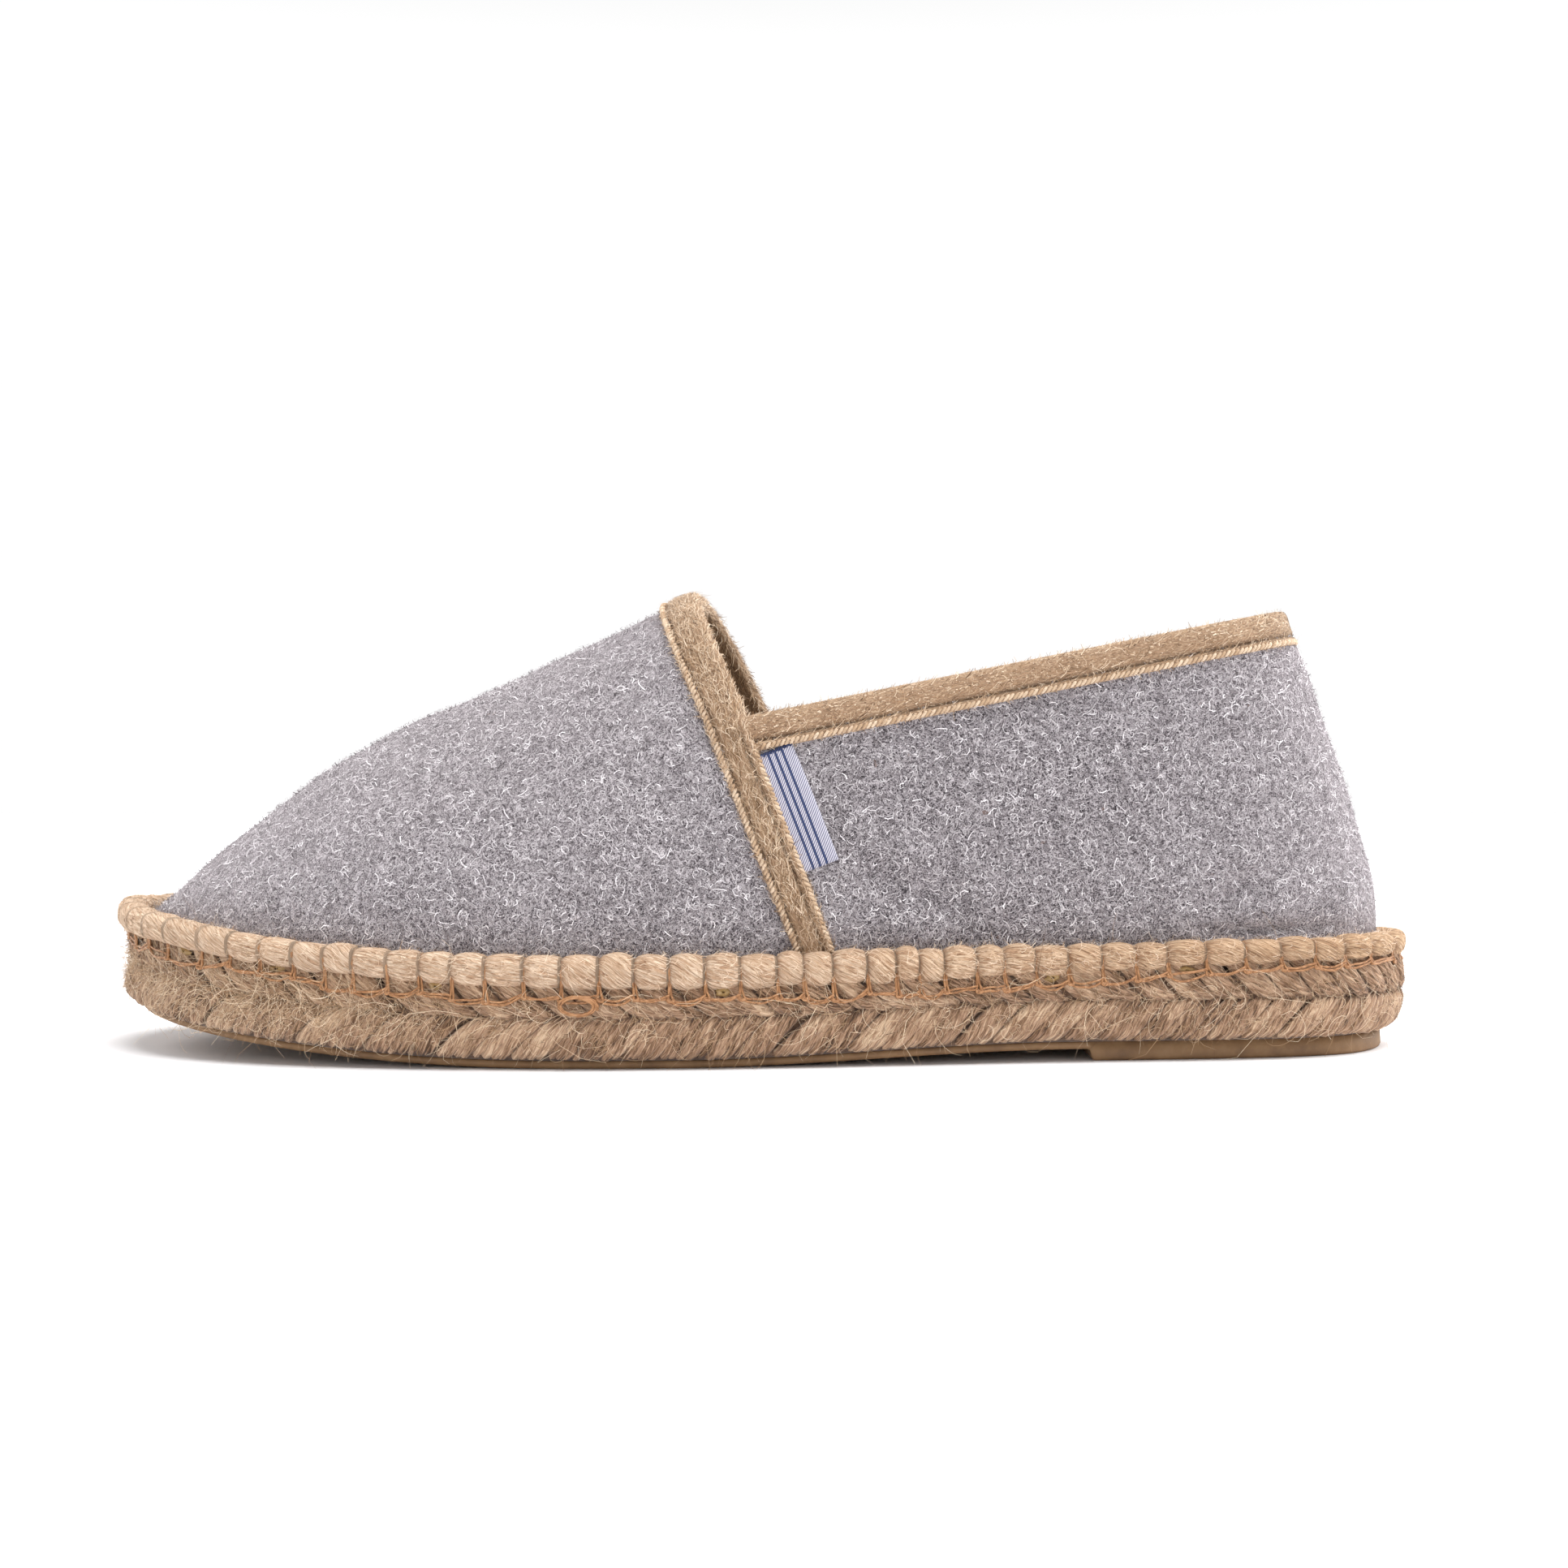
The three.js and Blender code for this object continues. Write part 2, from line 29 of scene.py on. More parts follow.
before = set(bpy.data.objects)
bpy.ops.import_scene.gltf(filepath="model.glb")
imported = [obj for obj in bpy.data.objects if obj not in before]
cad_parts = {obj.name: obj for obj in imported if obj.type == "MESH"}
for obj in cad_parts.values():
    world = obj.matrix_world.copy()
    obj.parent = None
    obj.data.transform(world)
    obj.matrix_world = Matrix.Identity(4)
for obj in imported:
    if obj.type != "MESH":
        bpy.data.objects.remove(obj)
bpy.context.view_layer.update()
mm = 0.001
chance = np.random.default_rng(41)

sole = {
    "length": 274, "ball": 98, "heel": 66,  # over the edge cord
    "rope": 15.9, "rubber": 1.6, "ledge": 0.86, "gap": 0.3,
    "toeSpring": 9.4, "springPower": 2.05, "heelRise": 2.3,
    "flatFront": -36, "flatBack": -16, "riseEnd": 60,
    "sideShift": 1.6,  # the row's middle line lies this far to the outer side
    # share of the length from the toe, outer and inner half widths as shares, which width they follow
    "outline": [
        (0.0, -0.07, 0.07, "ball"), (0.03, 0.19, 0.31, "ball"), (0.08, 0.325, 0.39, "ball"),
        (0.15, 0.42, 0.44, "ball"), (0.24, 0.48, 0.472, "ball"), (0.33, 0.505, 0.468, "ball"),
        (0.42, 0.503, 0.43, "ball"), (0.52, 0.475, 0.38, "ball"), (0.62, 0.432, 0.342, "ball"),
        (0.72, 0.575, 0.485, "heel"), (0.82, 0.53, 0.495, "heel"), (0.9, 0.475, 0.47, "heel"),
        (0.96, 0.36, 0.36, "heel"), (1.0, 0.0, 0.0, "heel"),
    ],
}

last = {
    "instep": 77, "heelHeight": 71, "heelLean": 19, "wall": 1.6,
    # share of the length, sideways place of the ridge, its height, roundness of the arch
    "sections": [
        (0.0, 0.07, 0.02, 2.1), (0.021, 0.07, 0.024, 2.1), (0.04, 0.069, 0.078, 2.1),
        (0.075, 0.066, 0.206, 2.1), (0.1, 0.063, 0.291, 2.1), (0.13, 0.06, 0.389, 2.1),
        (0.165, 0.057, 0.492, 2.15), (0.21, 0.054, 0.601, 2.2), (0.27, 0.05, 0.706, 2.25),
        (0.34, 0.047, 0.824, 2.3), (0.4, 0.044, 0.925, 2.35), (0.46, 0.04, 1.02, 2.45),
        (0.53, 0.032, 1.09, 2.65), (0.7, 0.012, 1.21, 3.0), (0.9, 0.0, 1.31, 3.3), (1.0, 0.0, 1.35, 3.3),
    ],
    # share of the heel's height, share of its lean
    "back": [
        (0.0, 0.0), (0.09, -0.032), (0.2, 0.01), (0.32, 0.14), (0.5, 0.33),
        (0.7, 0.59), (0.87, 0.81), (0.96, 0.965), (1.0, 1.0), (1.3, 1.03),
    ],
}

opening = {
    "throat": (-11.9, 92.8), "junction": (-0.8, 68.0), "collarBack": (111.4, 90.8),
    "yaw": 5.2, "bend": 1.6,
}

cord = {
    "width": 6.2, "height": 6.6, "overhang": 0.2, "pitch": 6.9,
    "pinchToe": 0.87, "pinchHeel": 0.75, "rings": 11, "around": 24,
    # place along the shoe, height as a share, how far its top has sunk in
    "squash": [
        (-137, 0.86, 0.2), (-110, 0.8, 0.3), (-75, 0.86, 0.3), (-30, 1.0, 0.1), (20, 1.0, 0.4),
        (45, 0.95, 1.2), (75, 0.82, 1.0), (100, 0.74, 0.3), (137, 0.72, 0.2),
    ],
    # stitches along the outer side, from the tip of the toe
    "stitches": [
        0.0, 8.6, 17.0, 25.4, 33.5, 41.5, 51.6, 58.9, 66.2, 73.5, 80.1, 86.1, 93.1, 99.6, 105.8, 112.4,
        119.9, 127.1, 134.4, 141.2, 147.9, 154.9, 161.7, 168.9, 174.0, 179.8, 186.6, 192.3, 196.9, 201.9,
        208.4, 213.9, 220.3, 226.9, 233.7, 240.4, 246.8, 254.8, 262.8, 270.4, 277.8, 284.8, 292.2, 302.5,
        311.5,
    ],
    "innerUneven": 0.1, "puffUneven": 0.12, "wander": 0.3, "boxy": 0.1, "twist": 0.012, "lump": 0.014,
    "fuzz": 9500, "fuzzLength": (1.0, 2.8), "fuzzWidth": (0.06, 0.12),
}

halfLength = sole["length"] / 2
cordInset = cord["width"] - cord["overhang"]
featherInset = cordInset + sole["gap"]


# Smooth curves and the sole's outline

def smoothCurve(places, values, period=0.0):
    places = np.array(places, float)
    values = np.array(values, float)
    if period:
        places = np.concatenate([places[-2:] - period, places, places[:2] + period])
        values = np.concatenate([values[-2:], values, values[:2]])
    slopes = np.empty_like(values)
    slopes[1:-1] = (values[2:] - values[:-2]) / (places[2:] - places[:-2])
    slopes[0] = (values[1] - values[0]) / (places[1] - places[0])
    slopes[-1] = (values[-1] - values[-2]) / (places[-1] - places[-2])

    def at(place):
        place = np.asarray(place, float)
        k = np.clip(np.searchsorted(places, place, side="right") - 1, 0, len(places) - 2)
        span = places[k + 1] - places[k]
        s = np.clip((place - places[k]) / span, 0, 1)
        start = (2 * s**3 - 3 * s**2 + 1) * values[k] + (s**3 - 2 * s**2 + s) * span * slopes[k]
        return start + (3 * s**2 - 2 * s**3) * values[k + 1] + (s**3 - s**2) * span * slopes[k + 1]

    return at


def smoothStep(low, high, value):
    s = np.clip((value - low) / (high - low), 0, 1)
    return s * s * (3 - 2 * s)


turn = 2 * math.pi
rows = sole["outline"]
outerAngles = [math.acos(1 - 2 * row[0]) for row in rows]
innerAngles = [turn - angle for angle in outerAngles[-2:0:-1]]
outerWidths = [-row[1] * sole[row[3]] for row in rows]
innerWidths = [row[2] * sole[row[3]] for row in rows[-2:0:-1]]
sideCurve = smoothCurve(outerAngles + innerAngles, outerWidths + innerWidths, turn)


def outline(angle, inset=0.0):  # angle 0 is the toe, pi the heel, by way of the outer side
    angle = np.asarray(angle, float)
    step = 1e-3
    x = -halfLength * np.cos(angle)
    y = sideCurve(angle % turn)
    dx = halfLength * (np.cos(angle - step) - np.cos(angle + step))
    dy = sideCurve((angle + step) % turn) - sideCurve((angle - step) % turn)
    size = np.hypot(dx, dy)
    return x - dy / size * inset, y + dx / size * inset


def lift(x):
    toe = np.clip((sole["flatFront"] - x) / (sole["flatFront"] + halfLength), 0, None)
    rise = smoothStep(sole["flatBack"], sole["riseEnd"], x)
    return sole["toeSpring"] * toe ** sole["springPower"] + sole["heelRise"] * rise


def ropeBottom(x):
    return sole["rubber"] + lift(x)


def ropeTop(x):
    return ropeBottom(x) + sole["rope"]


cordShare = smoothCurve([row[0] for row in cord["squash"]], [row[1] for row in cord["squash"]])
cordSink = smoothCurve([row[0] for row in cord["squash"]], [row[2] for row in cord["squash"]])


def cordHeight(x):
    return cord["height"] * cordShare(x)


def cordTop(x):
    return ropeBottom(x) + sole["rope"] * sole["ledge"] + sole["gap"] + cord["height"] - cordSink(x)


# Distance along the outline: sides 0 to 1 is the outer side, 1 to 2 the inner one
fineAngles = np.linspace(0, turn, 2001)
fineX, fineY = outline(fineAngles)
fineLength = np.concatenate([[0], np.cumsum(np.hypot(np.diff(fineX), np.diff(fineY)))])
outerLength = fineLength[1000]
innerLength = fineLength[2000] - outerLength
sideLength = (outerLength + innerLength) / 2
pastHeel = fineLength - outerLength
fineSides = np.where(pastHeel <= 0, fineLength / outerLength, 1 + pastHeel / innerLength)


def angleAlong(sides):
    return np.interp(np.asarray(sides) % 2, fineSides, fineAngles)


# The last, the form that the upper is pulled over

toeX = float(outline(0.0, featherInset)[0])
heelX = float(outline(math.pi, featherInset)[0])
shares = [row[0] for row in last["sections"]]
ridgeSide = smoothCurve(shares, [row[1] * sole["ball"] for row in last["sections"]])
ridgeHeight = smoothCurve(shares, [row[2] * last["instep"] for row in last["sections"]])
fullness = smoothCurve(shares, [row[3] for row in last["sections"]])
backHeights = [row[0] * last["heelHeight"] for row in last["back"]]
backLean = smoothCurve(backHeights, [row[1] * last["heelLean"] for row in last["back"]])
ridgeX = np.linspace(toeX, heelX, 3000)


def shareOf(x):
    return (x + halfLength) / sole["length"]


ridgeRise = np.maximum.accumulate(ridgeHeight(shareOf(ridgeX)))
halfTurn = np.linspace(1e-4, math.pi - 1e-4, 1500)
outerFeather = outline(halfTurn, featherInset)
innerFeather = outline(turn - halfTurn, featherInset)


def frontX(up):
    return np.where(ridgeRise[0] >= up, toeX, np.interp(up, ridgeRise, ridgeX))


def footSide(x, inner):
    return np.where(inner, np.interp(x, *innerFeather), np.interp(x, *outerFeather))


def lastPoint(angle, height):
    angle, height = np.broadcast_arrays(np.asarray(angle, float) % turn, np.asarray(height, float))
    up = np.maximum(height, 0)
    front = frontX(up)
    lean = backLean(up)
    span = heelX - lean - front
    x = front + (1 - np.cos(angle)) / 2 * span
    rearward = np.clip((x - front) / span, 0, 1)
    footX = np.minimum(x + lean * rearward**2, heelX)
    rise = np.minimum(up / ridgeHeight(shareOf(x)), 1)
    power = fullness(shareOf(x))
    narrowing = (1 - rise**power) ** (1 / power)
    middle = ridgeSide(shareOf(x))
    y = middle + (footSide(footX, angle > math.pi) - middle) * narrowing
    return np.stack([x, y, ropeTop(x) + height], -1)


def unit(vectors):
    return vectors / np.maximum(np.linalg.norm(vectors, axis=-1, keepdims=True), 1e-9)


def lastNormal(angle, height):
    around = lastPoint(angle + 0.02, height) - lastPoint(angle - 0.02, height)
    upward = lastPoint(angle, np.maximum(height, 0) + 0.4) - lastPoint(angle, np.maximum(height - 0.4, 0))
    return unit(np.cross(around, upward))


def angleOf(x, height, inner):
    front = frontX(height)
    angle = np.arccos(np.clip(1 - 2 * (x - front) / (heelX - backLean(height) - front), -1, 1))
    return np.where(inner, turn - angle, angle)


# Throat and collar lines, in a side view that is turned and bent as the throat is

throatTop = np.array(opening["throat"])
junction = np.array(opening["junction"])
collarBack = np.array(opening["collarBack"])
throatRun = (junction - throatTop) / np.linalg.norm(junction - throatTop)
collarRun = (collarBack - junction) / np.linalg.norm(collarBack - junction)


def sideBend(y):
    return y * math.tan(math.radians(opening["yaw"])) + opening["bend"] * (y / (sole["heel"] / 2)) ** 2


def behindThroat(points):
    x = points[..., 0] - sideBend(points[..., 1]) - junction[0]
    return -x * throatRun[1] + (points[..., 2] - junction[1]) * throatRun[0]


def aboveCollar(points):
    x = points[..., 0] - sideBend(points[..., 1]) - junction[0]
    return -x * collarRun[1] + (points[..., 2] - junction[1]) * collarRun[0]


def heightWhere(angle, measure, target):  # the height at which a rising measure reaches its target
    low = np.zeros_like(angle)
    high = np.full_like(angle, 84.0)
    for _ in range(40):
        middle = (low + high) / 2
        short = measure(lastPoint(angle, middle)) < target
        low = np.where(short, middle, low)
        high = np.where(short, high, middle)
    return (low + high) / 2


def inOpening(points):
    return np.minimum(behindThroat(points), aboveCollar(points))


# Meshes

def toLinear(part):
    return part / 12.92 if part <= 0.04045 else ((part + 0.055) / 1.055) ** 2.4


def colour(code):
    return tuple(toLinear(int(code[k:k + 2], 16) / 255) for k in (1, 3, 5)) + (1.0,)


def gridFaces(rowCount, columnCount, wrapRows=False, wrapColumns=False):
    r = np.arange(rowCount if wrapRows else rowCount - 1)[:, None]
    c = np.arange(columnCount if wrapColumns else columnCount - 1)[None, :]
    nextRow = (r + 1) % rowCount
    nextColumn = (c + 1) % columnCount
    corners = [r * columnCount + c, r * columnCount + nextColumn,
               nextRow * columnCount + nextColumn, nextRow * columnCount + c]
    return np.stack(np.broadcast_arrays(*corners), -1).reshape(-1, 4)


def fewer(count):  # the full count of fibres, none left out
    return count // 1


def manyFaces(faces, copies, pointsEach):
    return (faces[None] + (np.arange(copies) * pointsEach)[:, None, None]).reshape(-1, faces.shape[1])


def makePiece(name, points, faceSets, materials, replaced=(), marks=None, picks=None):
    points = np.asarray(points, float).reshape(-1, 3) + (0, sole["sideShift"], 0)
    mesh = bpy.data.meshes.new(name)
    mesh.vertices.add(len(points))
    mesh.vertices.foreach_set("co", (points * mm).ravel())
    corners = np.concatenate([faces.ravel() for faces in faceSets]).astype(np.int32)
    sizes = np.concatenate([np.full(len(faces), faces.shape[1]) for faces in faceSets])
    mesh.loops.add(len(corners))
    mesh.loops.foreach_set("vertex_index", corners)
    mesh.polygons.add(len(sizes))
    mesh.polygons.foreach_set("loop_start", (np.cumsum(sizes) - sizes).astype(np.int32))
    mesh.update(calc_edges=True)
    mesh.shade_smooth()
    for markName, values in (marks or {}).items():
        values = np.asarray(values, np.float32)
        kind, key = ("FLOAT", "value") if values.size == len(points) else ("FLOAT_VECTOR", "vector")
        mesh.attributes.new(markName, kind, "POINT").data.foreach_set(key, values.ravel())
    for material in materials:
        mesh.materials.append(material)
    if picks is not None:
        mesh.polygons.foreach_set("material_index", picks.astype(np.int32))
    piece = bpy.data.objects.new(name, mesh)
    bpy.context.scene.collection.objects.link(piece)
    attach(piece, "root")
    if replaced:
        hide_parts(*replaced)
    print("made", name, "with", len(sizes), "faces")


def tubes(paths, radii, sides, flat=1.0, normals=None):
    # paths: copies x steps x 3, radii: copies x steps. Returns points and faces of closed tubes.
    copies, steps = paths.shape[:2]
    ahead = unit(np.gradient(paths, axis=1))
    if normals is None:
        normals = np.broadcast_to(np.array([0.0, 0.0, 1.0]), paths.shape)
    across = unit(np.cross(ahead, normals))
    outward = np.cross(across, ahead)
    around = np.arange(sides) / sides * turn
    ring = (across[:, :, None] * np.cos(around)[None, None, :, None]
            + outward[:, :, None] * (np.sin(around) * flat)[None, None, :, None])
    points = paths[:, :, None] + ring * radii[:, :, None, None]
    walls = manyFaces(gridFaces(steps, sides, wrapColumns=True)[:, ::-1], copies, steps * sides)
    first = manyFaces(np.arange(sides)[None], copies, steps * sides)
    final = manyFaces((np.arange(sides)[::-1] + (steps - 1) * sides)[None], copies, steps * sides)
    return points.reshape(-1, 3), [walls, first, final]


def gridNormals(points, wrapColumns=False):
    if wrapColumns:
        across = np.roll(points, -1, 1) - np.roll(points, 1, 1)
    else:
        across = np.gradient(points, axis=1)
    return unit(np.cross(across, np.gradient(points, axis=0)))


def scatter(points, count, wrapColumns=False):
    # Random places on a grid of points, even by area: returns place, grid normal and grid indices
    corners = gridFaces(points.shape[0], points.shape[1], wrapColumns=wrapColumns)
    flatPoints = points.reshape(-1, 3)
    a, b, c, d = (flatPoints[corners[:, k]] for k in range(4))
    area = np.linalg.norm(np.cross(c - a, d - b), axis=-1)
    picked = chance.choice(len(corners), count, p=area / area.sum())
    s, t = chance.random((2, count, 1))
    place = (a[picked] * (1 - s) + b[picked] * s) * (1 - t) + (d[picked] * (1 - s) + c[picked] * s) * t
    normal = gridNormals(points, wrapColumns).reshape(-1, 3)[corners[picked, 0]]
    return place, normal, corners[picked, 0]


def fibres(place, normal, heading, length, width, steps, rise, curl, sink=0.05):
    # Flat curling ribbons that start just under a surface. rise is the height of their middle above it.
    count = len(place)
    heading = unit(heading - normal * np.sum(heading * normal, -1, keepdims=True))
    sideways = np.cross(normal, heading)
    share = np.linspace(0, 1, steps + 1)[None, :]
    bearing = curl[:, None] * (share - 0.5) ** 2 * np.sign(share - 0.5) * 2 + curl[:, None] * share
    stepLength = (length / steps)[:, None]
    ahead = np.concatenate([np.zeros((count, 1)), np.cumsum(np.cos(bearing[:, 1:]) * stepLength, 1)], 1)
    aside = np.concatenate([np.zeros((count, 1)), np.cumsum(np.sin(bearing[:, 1:]) * stepLength, 1)], 1)
    up = rise[:, None] * np.sin(share * math.pi * 0.8) ** 0.8 - sink * (1 - share)
    spine = (place[:, None] + heading[:, None] * ahead[..., None] + sideways[:, None] * aside[..., None]
             + normal[:, None] * up[..., None])
    face = unit(np.cross(np.gradient(spine, axis=1), normal[:, None]))
    half = (width[:, None] / 2 * (1 - 0.6 * share))[..., None]
    points = np.stack([spine - face * half, spine + face * half], 2)
    faces = manyFaces(gridFaces(steps + 1, 2), count, (steps + 1) * 2)
    return points.reshape(-1, 3), faces, (steps + 1) * 2


def fibreTones(count, each, middle=0.5):  # a tone for each fibre, on all its points
    return np.repeat(np.clip(chance.normal(middle, 0.25, count), 0, 1), each)


# Materials

def addNode(tree, kind, inputs=None, **settings):
    node = tree.nodes.new(kind)
    for key, value in settings.items():
        setattr(node, key, value)
    for key, value in (inputs or {}).items():
        if isinstance(value, bpy.types.NodeSocket):
            tree.links.new(value, node.inputs[key])
        else:
            node.inputs[key].default_value = value
    return node


def newMaterial(name, shader):
    material = bpy.data.materials.new(name)
    material.use_nodes = True
    surface = material.node_tree.nodes["Principled BSDF"]
    for key, value in shader.items():
        surface.inputs[key].default_value = value
    return material, material.node_tree, surface


def linkSurface(tree, surface, **sources):  # colour, roughness and normal
    sockets = {"colour": "Base Color", "roughness": "Roughness", "normal": "Normal"}
    for key, source in sources.items():
        tree.links.new(source, surface.inputs[sockets[key]])


def ramp(tree, factor, stops):
    node = addNode(tree, "ShaderNodeValToRGB", {"Fac": factor})
    elements = node.color_ramp.elements
    while len(elements) < len(stops):
        elements.new(0.5)
    for element, (place, code) in zip(elements, stops):
        element.position = place
        element.color = colour(code)
    return node.outputs["Color"]


def noise(tree, vector, size, detail=2.0, rough=0.5, distortion=0.0):  # size in mm
    inputs = {"Vector": vector, "Scale": 1 / (size * mm), "Detail": detail, "Roughness": rough,
              "Distortion": distortion}
    return addNode(tree, "ShaderNodeTexNoise", inputs).outputs["Fac"]


def bump(tree, height, depth):  # depth in mm
    inputs = {"Height": height, "Distance": depth * mm, "Strength": 1.0}
    return addNode(tree, "ShaderNodeBump", inputs).outputs["Normal"]


def mixColours(tree, factor, first, second):
    return addNode(tree, "ShaderNodeMix", {0: factor, 6: first, 7: second}, data_type="RGBA").outputs[2]


def maths(tree, operation, first, second=0.0, clamp=False):
    inputs = {0: first, 1: second}
    return addNode(tree, "ShaderNodeMath", inputs, operation=operation, use_clamp=clamp).outputs[0]


def remap(tree, value, low, high, newLow=0.0, newHigh=1.0):
    inputs = {"Value": value, "From Min": low, "From Max": high, "To Min": newLow, "To Max": newHigh}
    return addNode(tree, "ShaderNodeMapRange", inputs).outputs[0]


def objectPlaces(tree):
    return addNode(tree, "ShaderNodeTexCoord").outputs["Object"]


def mark(tree, name, output="Vector"):
    return addNode(tree, "ShaderNodeAttribute", attribute_name=name).outputs[output]


def stretched(tree, along, across):
    # The lay mark holds mm along and across a piece: here scaled by those shares, and in metres
    inputs = {"Vector": mark(tree, "lay"), "Scale": (along * mm, across * mm, mm)}
    return addNode(tree, "ShaderNodeMapping", inputs).outputs["Vector"]


suedeLook = {
    "deep": "#2f2b2e", "body": "#665f63", "pale": "#dcd4d8", "fleck": "#7d5a44",
    "curls": [(1.35, 0.0), (1.0, 3.1), (0.72, 7.7)], "patch": 9.0,  # mm, and a shift in m for each layer
}


def curledLines(tree, places, size, shift):
    # Thin curling lines, broken into short lengths: where a wandering noise crosses its middle value
    inputs = {"Vector": places, "Location": (shift, shift * 0.7, shift * 0.3)}
    moved = addNode(tree, "ShaderNodeMapping", inputs).outputs["Vector"]
    wander = noise(tree, moved, size, 1.5, 0.55, 1.2)
    distance = maths(tree, "ABSOLUTE", maths(tree, "SUBTRACT", wander, 0.5))
    line = remap(tree, distance, 0.01, 0.045, 1.0, 0.0)
    kept = remap(tree, noise(tree, moved, size * 1.3, 1.0, 0.5), 0.31, 0.38)
    return maths(tree, "MULTIPLY", line, kept)


def suedeMaterial():
    # Split cowhide suede, dyed and brushed: matt, with a curly nap whose ends catch the light
    look = suedeLook
    material, tree, surface = newMaterial("splitSuedeBrushed", {
        "Roughness": 0.95, "Sheen Weight": 1.0, "Sheen Roughness": 0.35, "Sheen Tint": colour("#f5e9ee"),
        "Specular IOR Level": 0.15,
    })
    places = objectPlaces(tree)
    nap = curledLines(tree, places, *look["curls"][0])
    for curl in look["curls"][1:]:
        nap = maths(tree, "MAXIMUM", nap, curledLines(tree, places, *curl))
    speckle = noise(tree, places, 0.3, 2.0, 0.7)
    grain = remap(tree, speckle, 0.32, 0.68)
    patches = noise(tree, places, look["patch"], 3.0, 0.55)
    tone = maths(tree, "ADD", maths(tree, "MULTIPLY", nap, 0.45), maths(tree, "MULTIPLY", grain, 0.38))
    tone = maths(tree, "ADD", tone, maths(tree, "MULTIPLY", patches, 0.1))
    # Painted shade: the tone mark darkens the quarter
    tone = maths(tree, "SUBTRACT", tone, maths(tree, "MULTIPLY", mark(tree, "tone", "Fac"), 0.07))
    body = ramp(tree, tone, [(0.08, look["deep"]), (0.28, look["body"]), (0.7, look["pale"])])
    flecks = noise(tree, places, 2.2, 1.0, 0.4)
    flecked = mixColours(tree, remap(tree, flecks, 0.79, 0.82, 0.0, 0.6), body, colour(look["fleck"]))
    height = maths(tree, "ADD", maths(tree, "MULTIPLY", nap, 0.6), maths(tree, "MULTIPLY", grain, 0.5))
    linkSurface(tree, surface, colour=flecked, normal=bump(tree, height, 0.42))
    return material


def fibreMaterial(name, stops, sheen):
    # Loose ends of fibre, each with its own tone
    shader = {"Roughness": 0.85, "Sheen Weight": sheen, "Specular IOR Level": 0.3}
    material, tree, surface = newMaterial(name, shader)
    linkSurface(tree, surface, colour=ramp(tree, mark(tree, "tone", "Fac"), stops))
    return material


tapeLook = {"deep": "#4c3522", "body": "#ab886a", "pale": "#e2c8aa"}


def tapeMaterial():
    # Cotton binding tape, brushed so that its nap lies along the tape
    look = tapeLook
    material, tree, surface = newMaterial("brushedCottonTape", {
        "Roughness": 0.9, "Sheen Weight": 0.5, "Sheen Tint": colour("#f6e6d0"), "Specular IOR Level": 0.25,
    })
    combed = noise(tree, stretched(tree, 0.9, 3.2), 1.0, 4.0, 0.65, 0.9)
    soft = noise(tree, objectPlaces(tree), 6.0, 2.0)
    tone = maths(tree, "ADD", maths(tree, "MULTIPLY", combed, 0.8), maths(tree, "MULTIPLY", soft, 0.2))
    body = ramp(tree, tone, [(0.25, look["deep"]), (0.5, look["body"]), (0.8, look["pale"])])
    # Painted shade, darker in the sewn grooves and on the inner leg of the fold
    shade = maths(tree, "MULTIPLY", mark(tree, "tone", "Fac"), 0.6)
    shaded = mixColours(tree, shade, body, colour(look["deep"]))
    linkSurface(tree, surface, colour=shaded, normal=bump(tree, combed, 0.6))
    return material


def cordMaterial():
    # Loosely spun cotton roving, unbleached: soft lengthwise fibres, a little golden at the heel
    material, tree, surface = newMaterial("spunCottonRoving", {
        "Roughness": 0.92, "Sheen Weight": 0.25, "Sheen Tint": colour("#f6e8d0"), "Specular IOR Level": 0.2,
    })
    spun = noise(tree, stretched(tree, 0.4, 2.4), 1.0, 4.0, 0.7, 1.2)
    soft = noise(tree, objectPlaces(tree), 9.0, 2.0)
    pale = ramp(tree, spun, [(0.32, "#86634a"), (0.46, "#c5a183"), (0.62, "#efd8bf")])
    gold = ramp(tree, spun, [(0.32, "#64442b"), (0.46, "#ac835f"), (0.62, "#e3c09a")])
    uneven = maths(tree, "MULTIPLY", maths(tree, "SUBTRACT", soft, 0.5), 0.6)
    share = maths(tree, "ADD", mark(tree, "tone", "Fac"), uneven, True)
    body = mixColours(tree, share, pale, gold)
    # Painted shade: darker towards the pinches between the puffs
    pinched = maths(tree, "MULTIPLY", mark(tree, "cavityShade", "Fac"), 0.6)
    shaded = mixColours(tree, pinched, body, colour("#74482a"))
    linkSurface(tree, surface, colour=shaded, normal=bump(tree, spun, 0.6))
    return material


def juteMaterial(name, stops):
    # Jute rope, twisted and braided: coarse dry fibres, with painted shade in the gaps between them
    shader = {"Roughness": 0.88, "Sheen Weight": 0.15, "Specular IOR Level": 0.3}
    material, tree, surface = newMaterial(name, shader)
    twisted = noise(tree, stretched(tree, 0.16, 1.9), 1.0, 5.0, 0.72, 0.5)
    blots = noise(tree, objectPlaces(tree), 5.0, 3.0, 0.6)
    tone = maths(tree, "ADD", twisted, maths(tree, "MULTIPLY", maths(tree, "SUBTRACT", blots, 0.5), 0.35))
    tone = maths(tree, "ADD", tone, maths(tree, "MULTIPLY", mark(tree, "tone", "Fac"), 0.09))
    # Painted shade in the gaps between strands and plies
    gap = maths(tree, "MULTIPLY", mark(tree, "cavityShade", "Fac"), 0.85)
    shaded = mixColours(tree, gap, ramp(tree, tone, stops), colour("#35241a"))
    linkSurface(tree, surface, colour=shaded, normal=bump(tree, twisted, 0.45))
    return material


